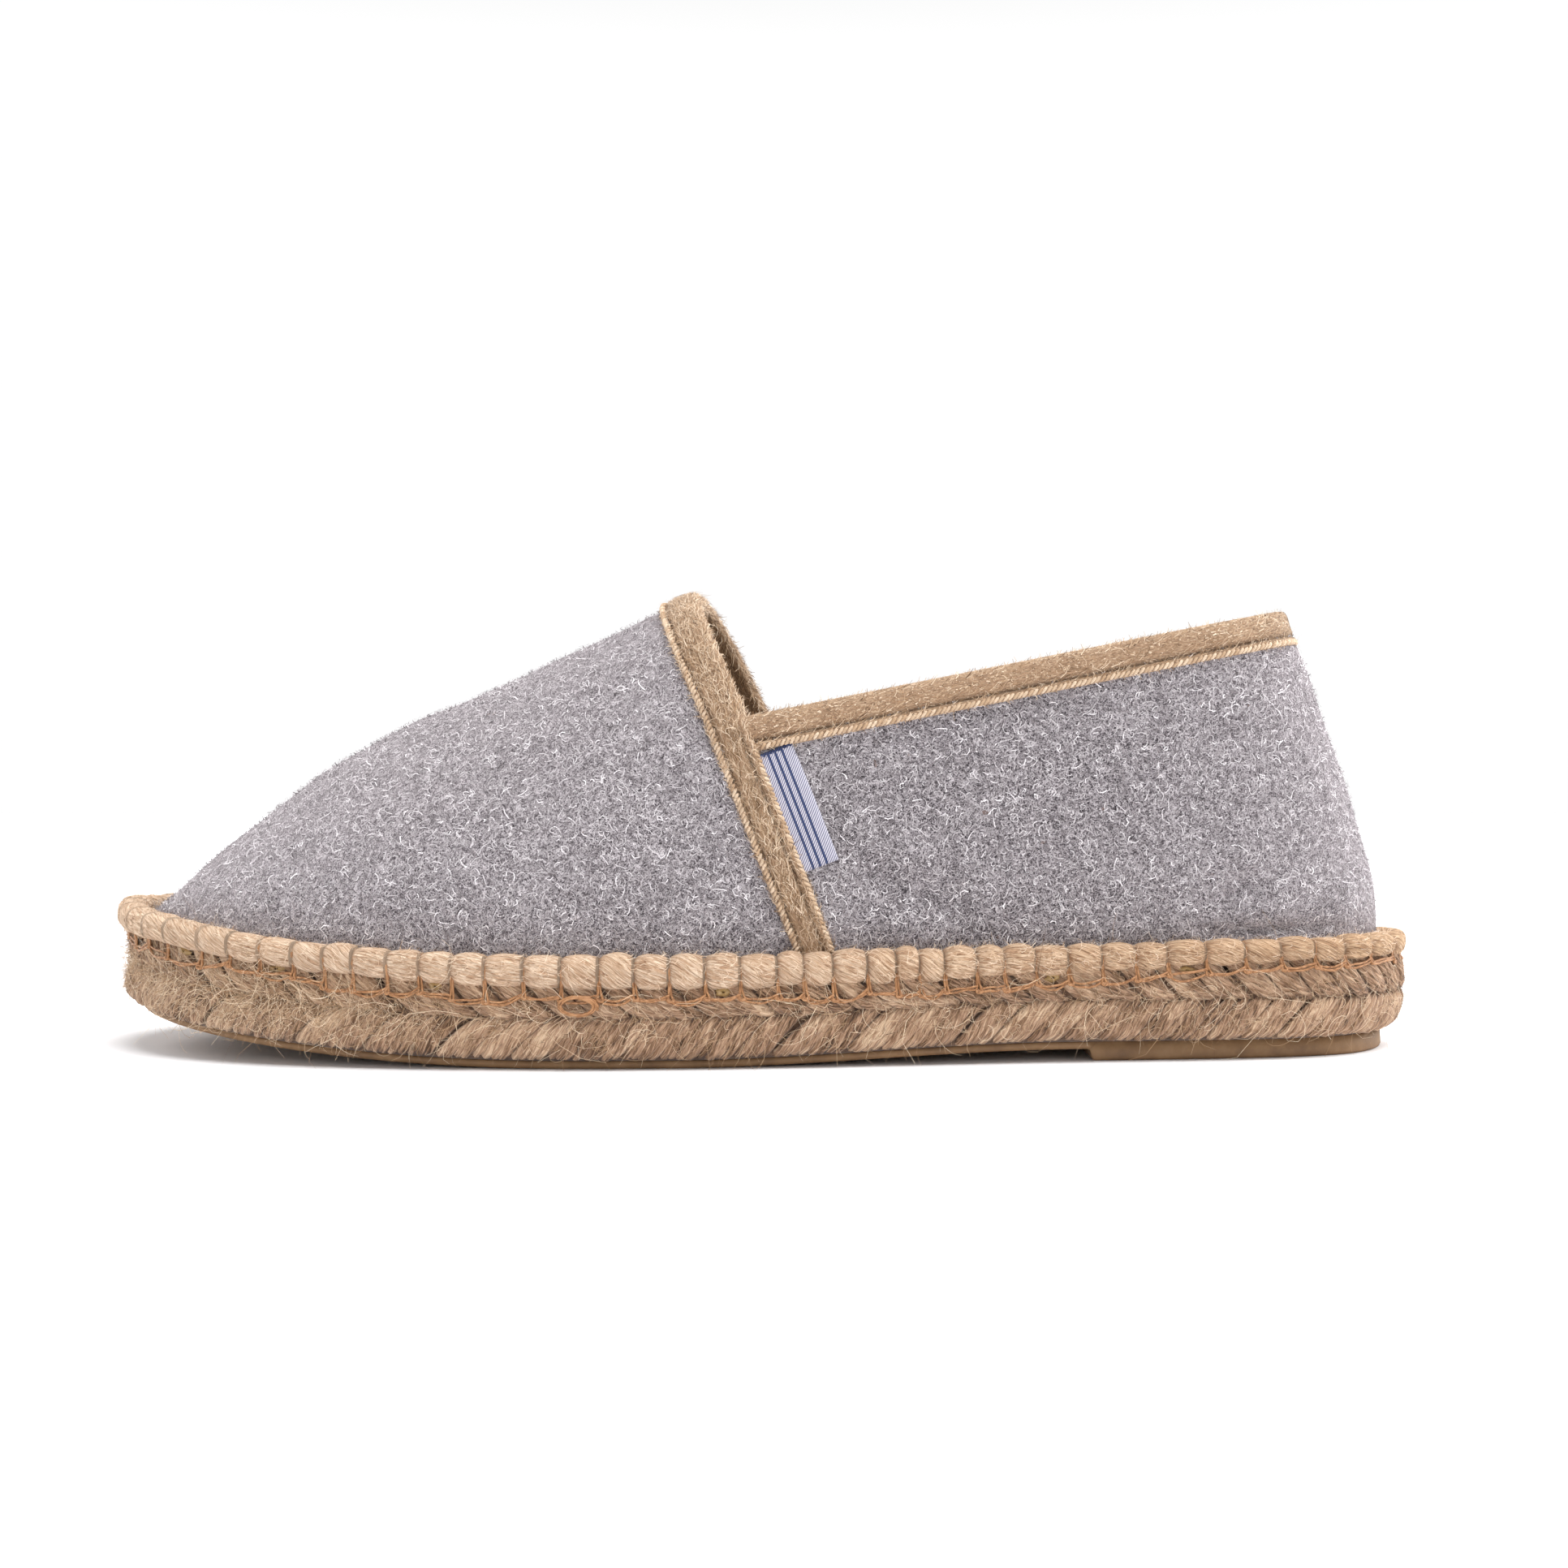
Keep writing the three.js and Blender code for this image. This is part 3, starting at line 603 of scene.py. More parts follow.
def threadMaterial():
    # Waxed linen thread, hand sewn: darker than the cord and a little shiny
    shader = {"Roughness": 0.5, "Specular IOR Level": 0.4}
    material, tree, surface = newMaterial("waxedLinenThread", shader)
    ply = noise(tree, stretched(tree, 1.1, 3.0), 1.0, 3.0, 0.6)
    body = ramp(tree, ply, [(0.3, "#6f472c"), (0.5, "#a6764d"), (0.75, "#cfa077")])
    linkSurface(tree, surface, colour=body, normal=bump(tree, ply, 0.12))
    return material


def rubberMaterial():
    # Vulcanised rubber sheet, pressed in a mould: even, matt, faintly mottled and scuffed
    material, tree, surface = newMaterial("mouldedCrepeRubber", {})
    places = objectPlaces(tree)
    mottle = noise(tree, places, 7.0, 4.0, 0.6)
    dust = noise(tree, places, 0.8, 3.0, 0.6)
    body = ramp(tree, mottle, [(0.3, "#73563a"), (0.55, "#886847"), (0.8, "#997957")])
    rough = remap(tree, mottle, 0.0, 1.0, 0.52, 0.78)
    linkSurface(tree, surface, colour=body, roughness=rough, normal=bump(tree, dust, 0.06))
    return material


def canvasMaterial(name, pitch, stops, axes="XY"):
    # Plain woven cotton: warp and weft cross at the given thread spacing, in mm
    material, tree, surface = newMaterial(name, {"Roughness": 0.9, "Sheen Weight": 0.12})
    places = objectPlaces(tree)
    bandRepeat = 0.314  # how far apart a wave texture's bands are at scale 1
    inputs = {"Vector": places, "Scale": bandRepeat / (pitch * mm), "Distortion": 0.8, "Detail": 1.0,
              "Detail Scale": 2.0}
    threads = []
    for axis in axes:
        wave = addNode(tree, "ShaderNodeTexWave", inputs, wave_type="BANDS", bands_direction=axis,
                       wave_profile="SIN")
        threads.append(wave.outputs["Fac"])
    weave = maths(tree, "MULTIPLY", threads[0], threads[1])
    slub = noise(tree, places, 1.6, 3.0, 0.6)
    tone = maths(tree, "ADD", maths(tree, "MULTIPLY", weave, 0.7), maths(tree, "MULTIPLY", slub, 0.4))
    linkSurface(tree, surface, colour=ramp(tree, tone, stops), normal=bump(tree, weave, 0.18))
    return material


def tagMaterial():
    # Polyester satin ribbon in fine twill, with three plain woven stripes along its middle
    look = tag
    material, tree, surface = newMaterial("wovenTwillRibbon", {"Roughness": 0.55, "Sheen Weight": 0.2})
    parts = addNode(tree, "ShaderNodeSeparateXYZ", {"Vector": mark(tree, "lay")})
    along = parts.outputs["X"]
    across = parts.outputs["Y"]
    slanted = maths(tree, "ADD", along, maths(tree, "MULTIPLY", across, look["twillSlope"]))
    twill = maths(tree, "FRACT", maths(tree, "DIVIDE", slanted, look["twillPitch"]))
    ridge = maths(tree, "PINGPONG", maths(tree, "MULTIPLY", twill, 2.0), 1.0)
    woven = ramp(tree, ridge, [(0.15, "#605f80"), (0.38, "#a7a5b5"), (0.8, "#cfcdd8")])
    inky = ramp(tree, ridge, [(0.1, "#0d1a3a"), (0.5, "#1c2f60"), (1.0, "#33497e")])
    offset = maths(tree, "ABSOLUTE", maths(tree, "SUBTRACT", across, look["width"] / 2))
    half = look["stripePitch"] / 2
    stripe = maths(tree, "PINGPONG", maths(tree, "ADD", offset, half), half)
    fromStripe = maths(tree, "ABSOLUTE", maths(tree, "SUBTRACT", stripe, half))
    inStripe = maths(tree, "LESS_THAN", fromStripe, look["stripeWidth"] / 2)
    nearMiddle = maths(tree, "LESS_THAN", offset, look["stripesReach"])
    # Cut ends of the dark threads show along the top edge
    ragged = maths(tree, "MULTIPLY", noise(tree, objectPlaces(tree), 0.8), look["frayed"])
    frayed = maths(tree, "LESS_THAN", along, ragged)
    dark = maths(tree, "MAXIMUM", maths(tree, "MULTIPLY", inStripe, nearMiddle), frayed)
    linkSurface(tree, surface, colour=mixColours(tree, dark, woven, inky), normal=bump(tree, ridge, 0.12))
    return material


# Upper: outer suede and inner lining are one closed shell

upper = {
    "columns": 300, "outerRows": 76, "innerRows": 16, "bottom": -0.9,
    "edgeFold": 1.3,  # the tapes cap the shell's edge by this much
    # soft dents and ridges on the outer side: x, z, length, height, slope of their run, depth
    "creases": [
        (31, 34, 10, 3.6, -0.35, -1.8), (29, 42, 12, 4, -0.3, 0.8), (24, 27, 9, 3, -0.25, 0.7),
        (98, 34, 5, 3.0, 0.45, -1.6), (95, 40, 9, 3.5, 0.3, 0.8), (103, 25.6, 13, 1.2, 0.03, -1.3),
        (103, 23.2, 14, 1.1, 0.03, 0.7), (100, 29, 11, 2.2, 0.03, 0.5), (-30, 66, 22, 10, 0.4, -0.5),
        (-52, 38, 26, 9, 0.2, 0.5), (62, 52, 20, 10, 0.15, -0.6), (88, 62, 14, 8, 0.3, 0.5),
        (4, 34, 5, 12, 0.0, -0.4),
    ],
    "innerCreases": [
        (28, 36, 14, 7, -0.3, -0.8), (25, 47, 12, 5, -0.2, 0.35), (95, 34, 9, 4, 0.2, -0.6),
        (66, 50, 18, 9, -0.15, -0.4), (-40, 52, 24, 10, 0.3, -0.35), (102, 26, 12, 1.4, 0.0, -0.4),
    ],
    "waveSize": 26, "waveDepth": 0.35,
    "calmFoot": (3, 5.2), "calmTop": (0, 5),  # the dents fade out near the cord and the tapes
    # where the quarter's painted shade starts behind the throat, and where it fades out towards the heel
    "paintedShadeFrom": (0, 5), "paintedShadeTo": (55, 105),
    "nap": 20500, "napLength": 2.1, "napWidth": 0.2, "napRise": 0.8, "napCurl": 4.5,
}


def creaseDepth(points, creases):
    depth = np.zeros(points.shape[:-1])
    for x, z, length, height, slope, amount in creases:
        ahead = points[..., 0] - x
        above = points[..., 2] - z - slope * ahead
        depth += amount * np.exp(-(ahead / length) ** 2 - (above / height) ** 2)
    return depth


def softWaves(points, size, amount):
    # A few crossing waves, for the unevenness of stretched soft leather
    depth = np.zeros(points.shape[:-1])
    upright = points[..., 2] + 0.6 * points[..., 1]
    for bearing, length, phase in ((0.3, 1.0, 0.4), (1.4, 0.73, 2.1), (2.3, 1.37, 4.0), (2.9, 0.55, 1.2)):
        run = points[..., 0] * math.cos(bearing) + upright * math.sin(bearing)
        depth += np.sin(run / (size * length) * turn + phase)
    return depth * amount / 4


def makeUpper():
    look = upper
    angles = np.arange(look["columns"]) / look["columns"] * turn
    top = heightWhere(angles, inOpening, -look["edgeFold"])
    share = np.linspace(0, 1, look["outerRows"])[:, None]
    height = look["bottom"] + share * (top - look["bottom"])[None, :]
    base = lastPoint(angles[None, :], height)
    normal = lastNormal(np.broadcast_to(angles, height.shape), height)
    inner = base[..., 1] > ridgeSide(shareOf(base[..., 0]))
    depth = np.where(inner, creaseDepth(base, look["innerCreases"]), creaseDepth(base, look["creases"]))
    depth = depth + softWaves(base, look["waveSize"], look["waveDepth"])
    calm = smoothStep(*look["calmFoot"], height) * smoothStep(*look["calmTop"], top[None, :] - height)
    outer = base + normal * (depth * calm)[..., None]
    innerShare = np.linspace(1, 0, look["innerRows"])[:, None]
    innerHeight = look["bottom"] + innerShare * (top - look["bottom"])[None, :]
    innerBase = lastPoint(angles[None, :], innerHeight)
    innerNormal = lastNormal(np.broadcast_to(angles, innerHeight.shape), innerHeight)
    lining = innerBase - innerNormal * last["wall"]
    points = np.concatenate([outer, lining])
    rowCount = look["outerRows"] + look["innerRows"]
    faces = gridFaces(rowCount, look["columns"], wrapRows=True, wrapColumns=True)
    rowOfFace = np.repeat(np.arange(rowCount), look["columns"])
    picks = (rowOfFace >= look["outerRows"] - 1).astype(int)
    # The quarter is painted darker near the vamp tape, fading out towards the heel: painted shade where its
    # wall curves in
    quarterPaintedShade = smoothStep(*look["paintedShadeFrom"], behindThroat(points))
    quarterPaintedShade = quarterPaintedShade * (1 - smoothStep(*look["paintedShadeTo"], points[..., 0]))
    makePiece("suedeUpper", points, [faces], [suedeMaterial(), liningMaterial], ("upper",),
              picks=picks, marks={"tone": quarterPaintedShade})
    return outer


def makeSuedeNap(outer):
    look = upper
    stops = [(0.0, "#544e50"), (0.3, "#968e91"), (1.0, "#fffafc")]
    material = fibreMaterial("suedeNapEnds", stops, 0.2)
    half = outer.shape[1] // 2
    for name, face in (("outerSuedeNap", outer[:, :half + 1]), ("innerSuedeNap", outer[:, half:])):
        count = fewer(look["nap"])
        place, normal, _ = scatter(face, count)
        heading = unit(chance.normal(size=(count, 3)))
        length = look["napLength"] * chance.uniform(0.5, 1.5, count)
        width = look["napWidth"] * chance.uniform(0.6, 1.3, count)
        rise = 0.04 + look["napRise"] * chance.random(count) ** 2.2
        curl = chance.uniform(-look["napCurl"], look["napCurl"], count)
        points, faces, each = fibres(place, normal, heading, length, width, 3, rise, curl)
        tone = fibreTones(count, each)
        makePiece(name, points, [faces], [material], marks={"tone": tone})


# Tapes: strips folded over the edge of the shell, with a groove beside each sewn band

tape = {
    "thick": 1.15, "crown": 0.4, "foldReach": 2.0, "foldStart": 1.5, "groove": 0.9, "grooveWidth": 0.34,
    "ribPitch": 1.0, "ribRadius": 0.34, "ribSlant": 1.3, "step": 0.45,
    "nap": 13000, "napLength": 2.5, "napWidth": 0.16, "napRise": 0.6, "napCurl": 0.9, "napSpread": 0.32,
    # how dark the painted shade on the fold's inner leg is
    "innerLegShade": 0.55, "footEnd": -1.5,
}

vampTape = {
    "width": 8.7, "footWidth": 8.2, "narrowFrom": 22, "narrowTo": 46, "footX": 16.6, "bow": 0.1, "tuck": 0.9,
    "frontBand": 1.6, "rearBand": 2.5,
    "pulledSpan": 0.5, "pulledRise": 0.35, "pulledSink": 0.9, "pulledThin": 0.3,  # over the instep
    "rideHeight": 0.9, "rideDrop": 3.2, "rideLength": 4.2,  # where it crosses the end of the collar tape
}

collarTape = {"width": 6.9, "frontBand": 1.9, "heelThin": 0.65, "heelStitchThin": 0.75, "heelSpan": 0.09}


def grooveDepth(away):  # away from the groove's middle line
    return tape["groove"] * np.exp(-(away / tape["grooveWidth"]) ** 2)


def tapeSection(width, band, rearBand=0.0):
    # Points across a tape from its sewn edge, over the fold and back inside: their distance from the fold,
    # their height off the last, and how many of them are on the outer face and on the fold
    nearEdge = np.array([0.0, 0.12, 0.4, 0.8, 1.2])
    nearGroove = np.array([0.45, 0.2, 0.0, -0.2, -0.45])
    farGroove = np.array([0.75, 0.45, 0.2, 0.0, -0.2, -0.45, -0.75])
    outerPlaces = np.concatenate([
        width - nearEdge,
        width - band + nearGroove,
        np.linspace(width - band - 0.9, tape["foldStart"], 9)[:5 if rearBand else 9],
        rearBand + farGroove if rearBand else [],
    ])
    fromEdge = width - outerPlaces
    rise = np.sqrt(np.clip(fromEdge / 0.5, 0.02, 1))
    toFold = np.clip((fromEdge - band) / (width - band), 0, 1)
    crown = tape["crown"] * np.sin(toFold * math.pi / 2)
    off = tape["thick"] * rise - grooveDepth(fromEdge - band) + crown
    turns = np.linspace(0.5 * math.pi, 1.5 * math.pi, 11)[1:-1]
    middle = -last["wall"] / 2
    top = off[-1]
    half = top - middle
    foldPlaces = tape["foldStart"] + tape["foldReach"] * np.cos(turns)
    foldOff = middle + half * np.sin(turns)
    innerPlaces = np.linspace(tape["foldStart"], width, 7)
    innerOff = np.full(7, middle - half) + np.array([0, 0, 0, 0, 0, 0.15, 0.8])
    backPlaces = np.array([width, 1.6, 1.2, 1.6, width])
    backOff = np.array([-last["wall"] - 0.05, -last["wall"] - 0.05, middle, 0.05, 0.05])
    places = np.concatenate([outerPlaces, foldPlaces, innerPlaces, backPlaces])
    offs = np.concatenate([off, foldOff, innerOff, backOff])
    return places, offs, len(outerPlaces), len(foldPlaces)


def rearLine(z):  # the vamp tape's rear edge, in the turned side view
    foot = (vampTape["footX"], float(cordTop(vampTape["footX"])))
    middle = ((junction[0] + foot[0]) / 2 + vampTape["bow"], (junction[1] + foot[1]) / 2)
    high = junction[0] + (junction[1] - z) * throatRun[0] / throatRun[1] * -1
    low = np.interp(-z, [-junction[1], -middle[1], -foot[1]], [junction[0], middle[0], foot[0]])
    return np.where(z > junction[1], high, low)


def vampWidth(z):
    wider = smoothStep(vampTape["narrowFrom"], vampTape["narrowTo"], z)
    return vampTape["footWidth"] + (vampTape["width"] - vampTape["footWidth"]) * wider


def archPlace(theta, across):
    # A point of the last under the vamp tape. theta runs over the arch from the outer feather to the inner.
    inner = theta > 0
    x = np.zeros(np.broadcast(theta, across).shape)
    for _ in range(40):
        share = shareOf(x)
        power = fullness(share)
        height = ridgeHeight(share) * np.cos(theta) ** (2 / power)
        middle = ridgeSide(share)
        y = middle + (footSide(x, inner) - middle) * np.abs(np.sin(theta)) ** (2 / power)
        z = ropeTop(x) + height
        wanted = rearLine(z) - across * vampWidth(z) / vampTape["width"] + sideBend(y)
        x = x * 0.35 + wanted * 0.65
    return angleOf(x, height, inner), height


def evenSteps(points, step):  # places along a row of points at even distances, as fractional indices
    length = np.concatenate([[0], np.cumsum(np.linalg.norm(np.diff(points, axis=0), axis=-1))])
    count = int(length[-1] / step)
    return np.interp(np.linspace(0, length[-1], count), length, np.arange(len(points))), length[-1]


# Painted shade along a sewn groove
def grooveShade(fromEdge, band):
    return np.exp(-((fromEdge - band) / 0.45) ** 2)


def closeTape(name, points, marks, shade, outerCount, replaced, material):
    # The section is a closed loop, capped at both ends. Its inner leg is painted darker, as painted shade
    # inside the fold.
    stations, around = points.shape[:2]
    walls = gridFaces(stations, around, wrapColumns=True)
    caps = [np.arange(around)[None, ::-1], (np.arange(around) + (stations - 1) * around)[None]]
    # Painted shade on the fold's inner leg, and in the grooves of the outer face
    shades = np.full((stations, around), tape["innerLegShade"])
    shades[:, :outerCount] = 0
    shades[:, :shade.shape[1]] = shade
    makePiece(name, points, [walls] + caps, [material], replaced,
              marks={"lay": marks, "tone": shades})
    return points[:, :outerCount]


def slantedStitches(skin, first, final, edge, reach):
    # Short fat stitches over a tape's edge, from edge to reach across it
    starts = np.arange(first, final, tape["ribPitch"] / tape["step"])
    starts = starts + chance.uniform(-0.25, 0.25, len(starts))
    share = np.linspace(0, 1, 6)[None, :]
    station = starts[:, None] + share * tape["ribSlant"] / tape["step"]
    across = edge + (reach - edge) * share + np.zeros_like(station)
    off = 0.7 + 0.55 * np.sin(share * math.pi) + chance.uniform(-0.06, 0.06, station.shape)
    radii = tape["ribRadius"] * (1 - 0.45 * (2 * share - 1) ** 4) + np.zeros_like(station)
    return tubes(skin(station, across, off), radii, 6)


def makeVampTape(material):
    width, band, rearBand = vampTape["width"], vampTape["frontBand"], vampTape["rearBand"]
    places, offs, outerCount, foldCount = tapeSection(width, band, rearBand)
    theta = np.linspace(-math.pi / 2, math.pi / 2, 2400)
    angle, height = archPlace(theta, np.zeros_like(theta))
    ridge = lastPoint(angle, height)
    seen = ridge[:, 2] > cordTop(ridge[:, 0]) - vampTape["tuck"]
    theta = theta[seen]
    stations, length = evenSteps(ridge[seen], tape["step"])
    theta = np.interp(stations, np.arange(len(theta)), theta)[:, None]
    angle, height = archPlace(theta, places[None, :])
    base = lastPoint(angle, height)
    z = lastPoint(*archPlace(theta[:, 0], np.zeros(len(theta))))[:, 2]
    flat = 1 - smoothStep(junction[1] - 3.5, junction[1] - 0.5, z)[:, None]  # 1 where the tape lies flat
    # The flat stretch has a band and groove along its rear edge too, and no inner leg
    fromRear = places[None, :outerCount]
    fromFront = width - fromRear
    flatOff = offs[None, :outerCount] - grooveDepth(fromRear - rearBand)
    off = np.broadcast_to(offs, base.shape[:2]).copy()
    off[:, :outerCount] = off[:, :outerCount] * (1 - flat) + flatOff * flat
    # Pulled thin over the instep, and raised where it rides over the end of the collar tape
    pulled = np.exp(-(theta / vampTape["pulledSpan"]) ** 2)
    inward = np.clip((width - band - places[:outerCount + foldCount]) / (width - band), 0, 1)
    drawn = vampTape["pulledRise"] * np.sin(inward**0.8 * math.pi) - vampTape["pulledSink"] * inward**2
    off[:, :outerCount + foldCount] += pulled * drawn
    off[:, :outerCount] *= 1 - vampTape["pulledThin"] * pulled
    ride = np.exp(-((z - junction[1] + vampTape["rideDrop"]) / vampTape["rideLength"]) ** 2)[:, None]
    off[:, :outerCount] += vampTape["rideHeight"] * ride * smoothStep(4.5, 0.5, fromRear)
    foldAt = slice(outerCount, outerCount + foldCount)
    down = np.linspace(0, 1, foldCount)[None, :]
    rearTop = off[:, outerCount - 1:outerCount]
    off[:, foldAt] = off[:, foldAt] * (1 - flat) + (rearTop * (1 - down**2) + 0.05 * down) * flat
    off[:, outerCount + foldCount:] = off[:, outerCount + foldCount:] * (1 - flat) + 0.04 * flat
    acrossFlat = np.broadcast_to(places, base.shape[:2]).copy()
    acrossFlat[:, foldAt] = tape["foldStart"] * np.cos(down * math.pi / 2)
    acrossFlat[:, outerCount + foldCount:] = np.clip(places[outerCount + foldCount:], 0.3, None)
    across = places[None, :] * (1 - flat) + acrossFlat * flat
    angle, height = archPlace(np.broadcast_to(theta, across.shape), across)
    base = lastPoint(angle, height)
    points = base + lastNormal(angle, height) * off[..., None]
    along = np.linspace(0, length, len(theta))[:, None]
    marks = np.stack([np.broadcast_to(along, across.shape), across, np.zeros_like(across)], -1)

    def skin(station, place, stand):
        spot = archPlace(np.interp(station, np.arange(len(theta)), theta[:, 0]), place)
        return lastPoint(*spot) + lastNormal(*spot) * stand[..., None]

    # Painted shade in the grooves beside both sewn bands
    shade = grooveShade(fromFront, band) + grooveShade(fromRear, rearBand) * flat
    low = np.flatnonzero(flat[:, 0] > 0.8)
    breakAt = low[np.argmax(np.diff(low))] - 1
    ribs = [
        slantedStitches(skin, 0, len(theta) - 4, width - 0.1, width - band + 0.35),
        slantedStitches(skin, 0, breakAt - 2, 0.3, rearBand - 0.9),
        slantedStitches(skin, len(theta) - breakAt - 1, len(theta) - 4, 0.3, rearBand - 0.9),
    ]
    face = closeTape("vampTape", points, marks, shade, outerCount + foldCount, ("vamp_tape",), material)
    return face, ribs


def makeCollarTape(material):
    width, band = collarTape["width"], collarTape["frontBand"]
    places, offs, outerCount, foldCount = tapeSection(width, band)
    allAngles = np.linspace(0.5, turn - 0.5, 3000)
    line = lastPoint(allAngles, heightWhere(allAngles, aboveCollar, 0.0))
    seen = behindThroat(line) > tape["footEnd"]
    stations, length = evenSteps(line[seen], tape["step"])
    share = (np.interp(stations, np.arange(seen.sum()), allAngles[seen]) - allAngles[seen][0])
    share = (share / share[-1])[:, None]
    # Each line of the section ends under the vamp tape, wherever it runs
    depths = np.linspace(places.min(), places.max(), 12)
    ends = []
    for depth in depths:
        run = lastPoint(allAngles, heightWhere(allAngles, aboveCollar, np.full_like(allAngles, -depth)))
        within = allAngles[behindThroat(run) > tape["footEnd"]]
        ends.append((within[0], within[-1]))
    firstAngle, finalAngle = np.array(ends).T

    def angleAt(part, place):
        begin = np.interp(place, depths, firstAngle)
        return begin + (np.interp(place, depths, finalAngle) - begin) * part

    def skin(station, place, stand):
        spot = angleAt(np.interp(station, np.arange(len(share)), share[:, 0]), place)
        height = heightWhere(spot, aboveCollar, -place)
        return lastPoint(spot, height) + lastNormal(spot, height) * stand[..., None]

    def nearHeel(part):
        return np.exp(-((part - 0.5) / collarTape["heelSpan"]) ** 2)

    def thinSkin(station, place, stand):
        part = np.interp(station, np.arange(len(share)), share[:, 0])
        return skin(station, place, stand * (1 - collarTape["heelStitchThin"] * nearHeel(part)))

    across = np.broadcast_to(places, (len(share), len(places)))
    # It lies flatter around the back of the heel
    off = np.where(offs > 0, offs * (1 - collarTape["heelThin"] * nearHeel(share)), offs)
    points = skin(np.arange(len(share))[:, None] + np.zeros_like(across), across, off)
    along = np.linspace(0, length, len(share))[:, None]
    marks = np.stack([np.broadcast_to(along, off.shape), across, np.zeros_like(off)], -1)
    # Painted shade in the groove beside the sewn band
    shade = np.broadcast_to(grooveShade(width - places[:outerCount], band), (len(share), outerCount))
    ribs = [slantedStitches(thinSkin, 4, len(share) - 8, width - 0.1, width - band + 0.8)]
    face = closeTape("collarTape", points, marks, shade, outerCount + foldCount, ("collar_tape",), material)
    return face, ribs


def makeTapeNap(name, face):
    count = fewer(tape["nap"])
    place, normal, index = scatter(face, count)
    run = np.gradient(face, axis=0).reshape(-1, 3)[index]
    heading = unit(run) + tape["napSpread"] * chance.normal(size=(count, 3))
    length = tape["napLength"] * chance.uniform(0.5, 1.3, count)
    width = tape["napWidth"] * chance.uniform(0.6, 1.3, count)
    rise = 0.05 + tape["napRise"] * chance.random(count) ** 1.8
    curl = chance.uniform(-tape["napCurl"], tape["napCurl"], count)
    points, faces, each = fibres(place, normal, heading, length, width, 2, rise, curl)
    makePiece(name, points, [faces], [tapeNapMaterial], marks={"tone": fibreTones(count, each)})


def makeTapeEdges(groups):
    pointsEach = 36  # six rings of six points make a stitch
    points = []
    faceSets = []
    start = 0
    for groupPoints, groupFaces in groups:
        points.append(groupPoints)
        faceSets += [faces + start for faces in groupFaces]
        start += len(groupPoints)
    points = np.concatenate(points)
    tone = np.repeat(chance.uniform(0.45, 0.8, len(points) // pointsEach), pointsEach)
    makePiece("tapeEdges", points, faceSets, [tapeNapMaterial], marks={"tone": tone})


# Side tag: a folded woven ribbon, sewn in under the vamp tape's rear edge

tag = {
    "length": 25.2, "width": 6.8, "thick": 0.55, "topZ": 61.2, "tucked": 0.9, "lift": 0.35, "freeLift": 0.5,
    "topSlope": 0.15, "topDrop": 0.6, "rows": 60, "columns": 20,
    "twillSlope": 1.15, "twillPitch": 0.62,
    "stripePitch": 1.24, "stripeWidth": 0.44, "stripesReach": 1.6, "frayed": 1.5,
}


def makeTag():
    look = tag
    top = np.array([float(rearLine(look["topZ"])), look["topZ"]])
    foot = np.array([vampTape["footX"], float(cordTop(vampTape["footX"]))])
    middle = (junction + foot) / 2 + (vampTape["bow"], 0)
    down = (middle - top) / np.linalg.norm(middle - top)
    across = np.array([-down[1], down[0]])
    shareDown = np.linspace(0, 1, look["rows"])[:, None]
    shareAcross = np.linspace(0, 1, look["columns"])[None, :]
    slope = collarRun[1] * look["width"] / float(collarRun @ across)
    rise = (1 - shareDown) * shareAcross * slope * look["topSlope"]
    flatPlace = (top + across * -look["tucked"] + down * (shareDown * look["length"])[..., None]
                 + across * (shareAcross * (look["width"] + look["tucked"]))[..., None])
    flatPlace[..., 1] += rise - look["topDrop"] * (1 - shareDown)
    # Down onto the last: solve the height on the outer side that gives each side-view place
    x = flatPlace[..., 0]
    z = flatPlace[..., 1]
    realX = x.copy()
    for _ in range(30):
        height = z - ropeTop(realX)
        point = lastPoint(angleOf(realX, height, False), height)
        realX = x + sideBend(point[..., 1])
    angle = angleOf(realX, height, False)
    base = lastPoint(angle, height)
    normal = lastNormal(angle, height)
    free = smoothStep(0.15, 1.0, shareAcross) * smoothStep(0.0, 0.5, shareDown)
    under = look["lift"] + free * look["freeLift"]
    fromSides = np.minimum(shareAcross, 1 - shareAcross) * 14
    fromEnds = np.minimum(shareDown, 1 - shareDown) * 40
    thick = look["thick"] * np.clip(np.minimum(fromSides, fromEnds), 0.35, 1)
    outer = base + normal * (under + thick)[..., None]
    innerFace = base + normal * (under - 0.1)[..., None]
    points = np.concatenate([outer.reshape(-1, 3), innerFace.reshape(-1, 3)])
    size = look["rows"] * look["columns"]
    front = gridFaces(look["rows"], look["columns"])
    back = front[:, ::-1] + size
    rim = np.concatenate([
        np.arange(look["columns"]), np.arange(1, look["rows"]) * look["columns"] + look["columns"] - 1,
        (look["rows"] - 1) * look["columns"] + np.arange(look["columns"] - 2, -1, -1),
        np.arange(look["rows"] - 2, 0, -1) * look["columns"],
    ])
    after = np.roll(rim, -1)
    sides = np.stack([after, rim, rim + size, after + size], -1)
    along, across = np.broadcast_arrays(shareDown * look["length"], shareAcross * look["width"])
    lay = np.stack([along, across, np.zeros(outer.shape[:2])], -1)
    makePiece("sideTag", points, [front, back, sides], [tagMaterial()], ("side_tag",),
              marks={"lay": np.concatenate([lay.reshape(-1, 3)] * 2)})


# Edge cord: soft puffs between the stitches

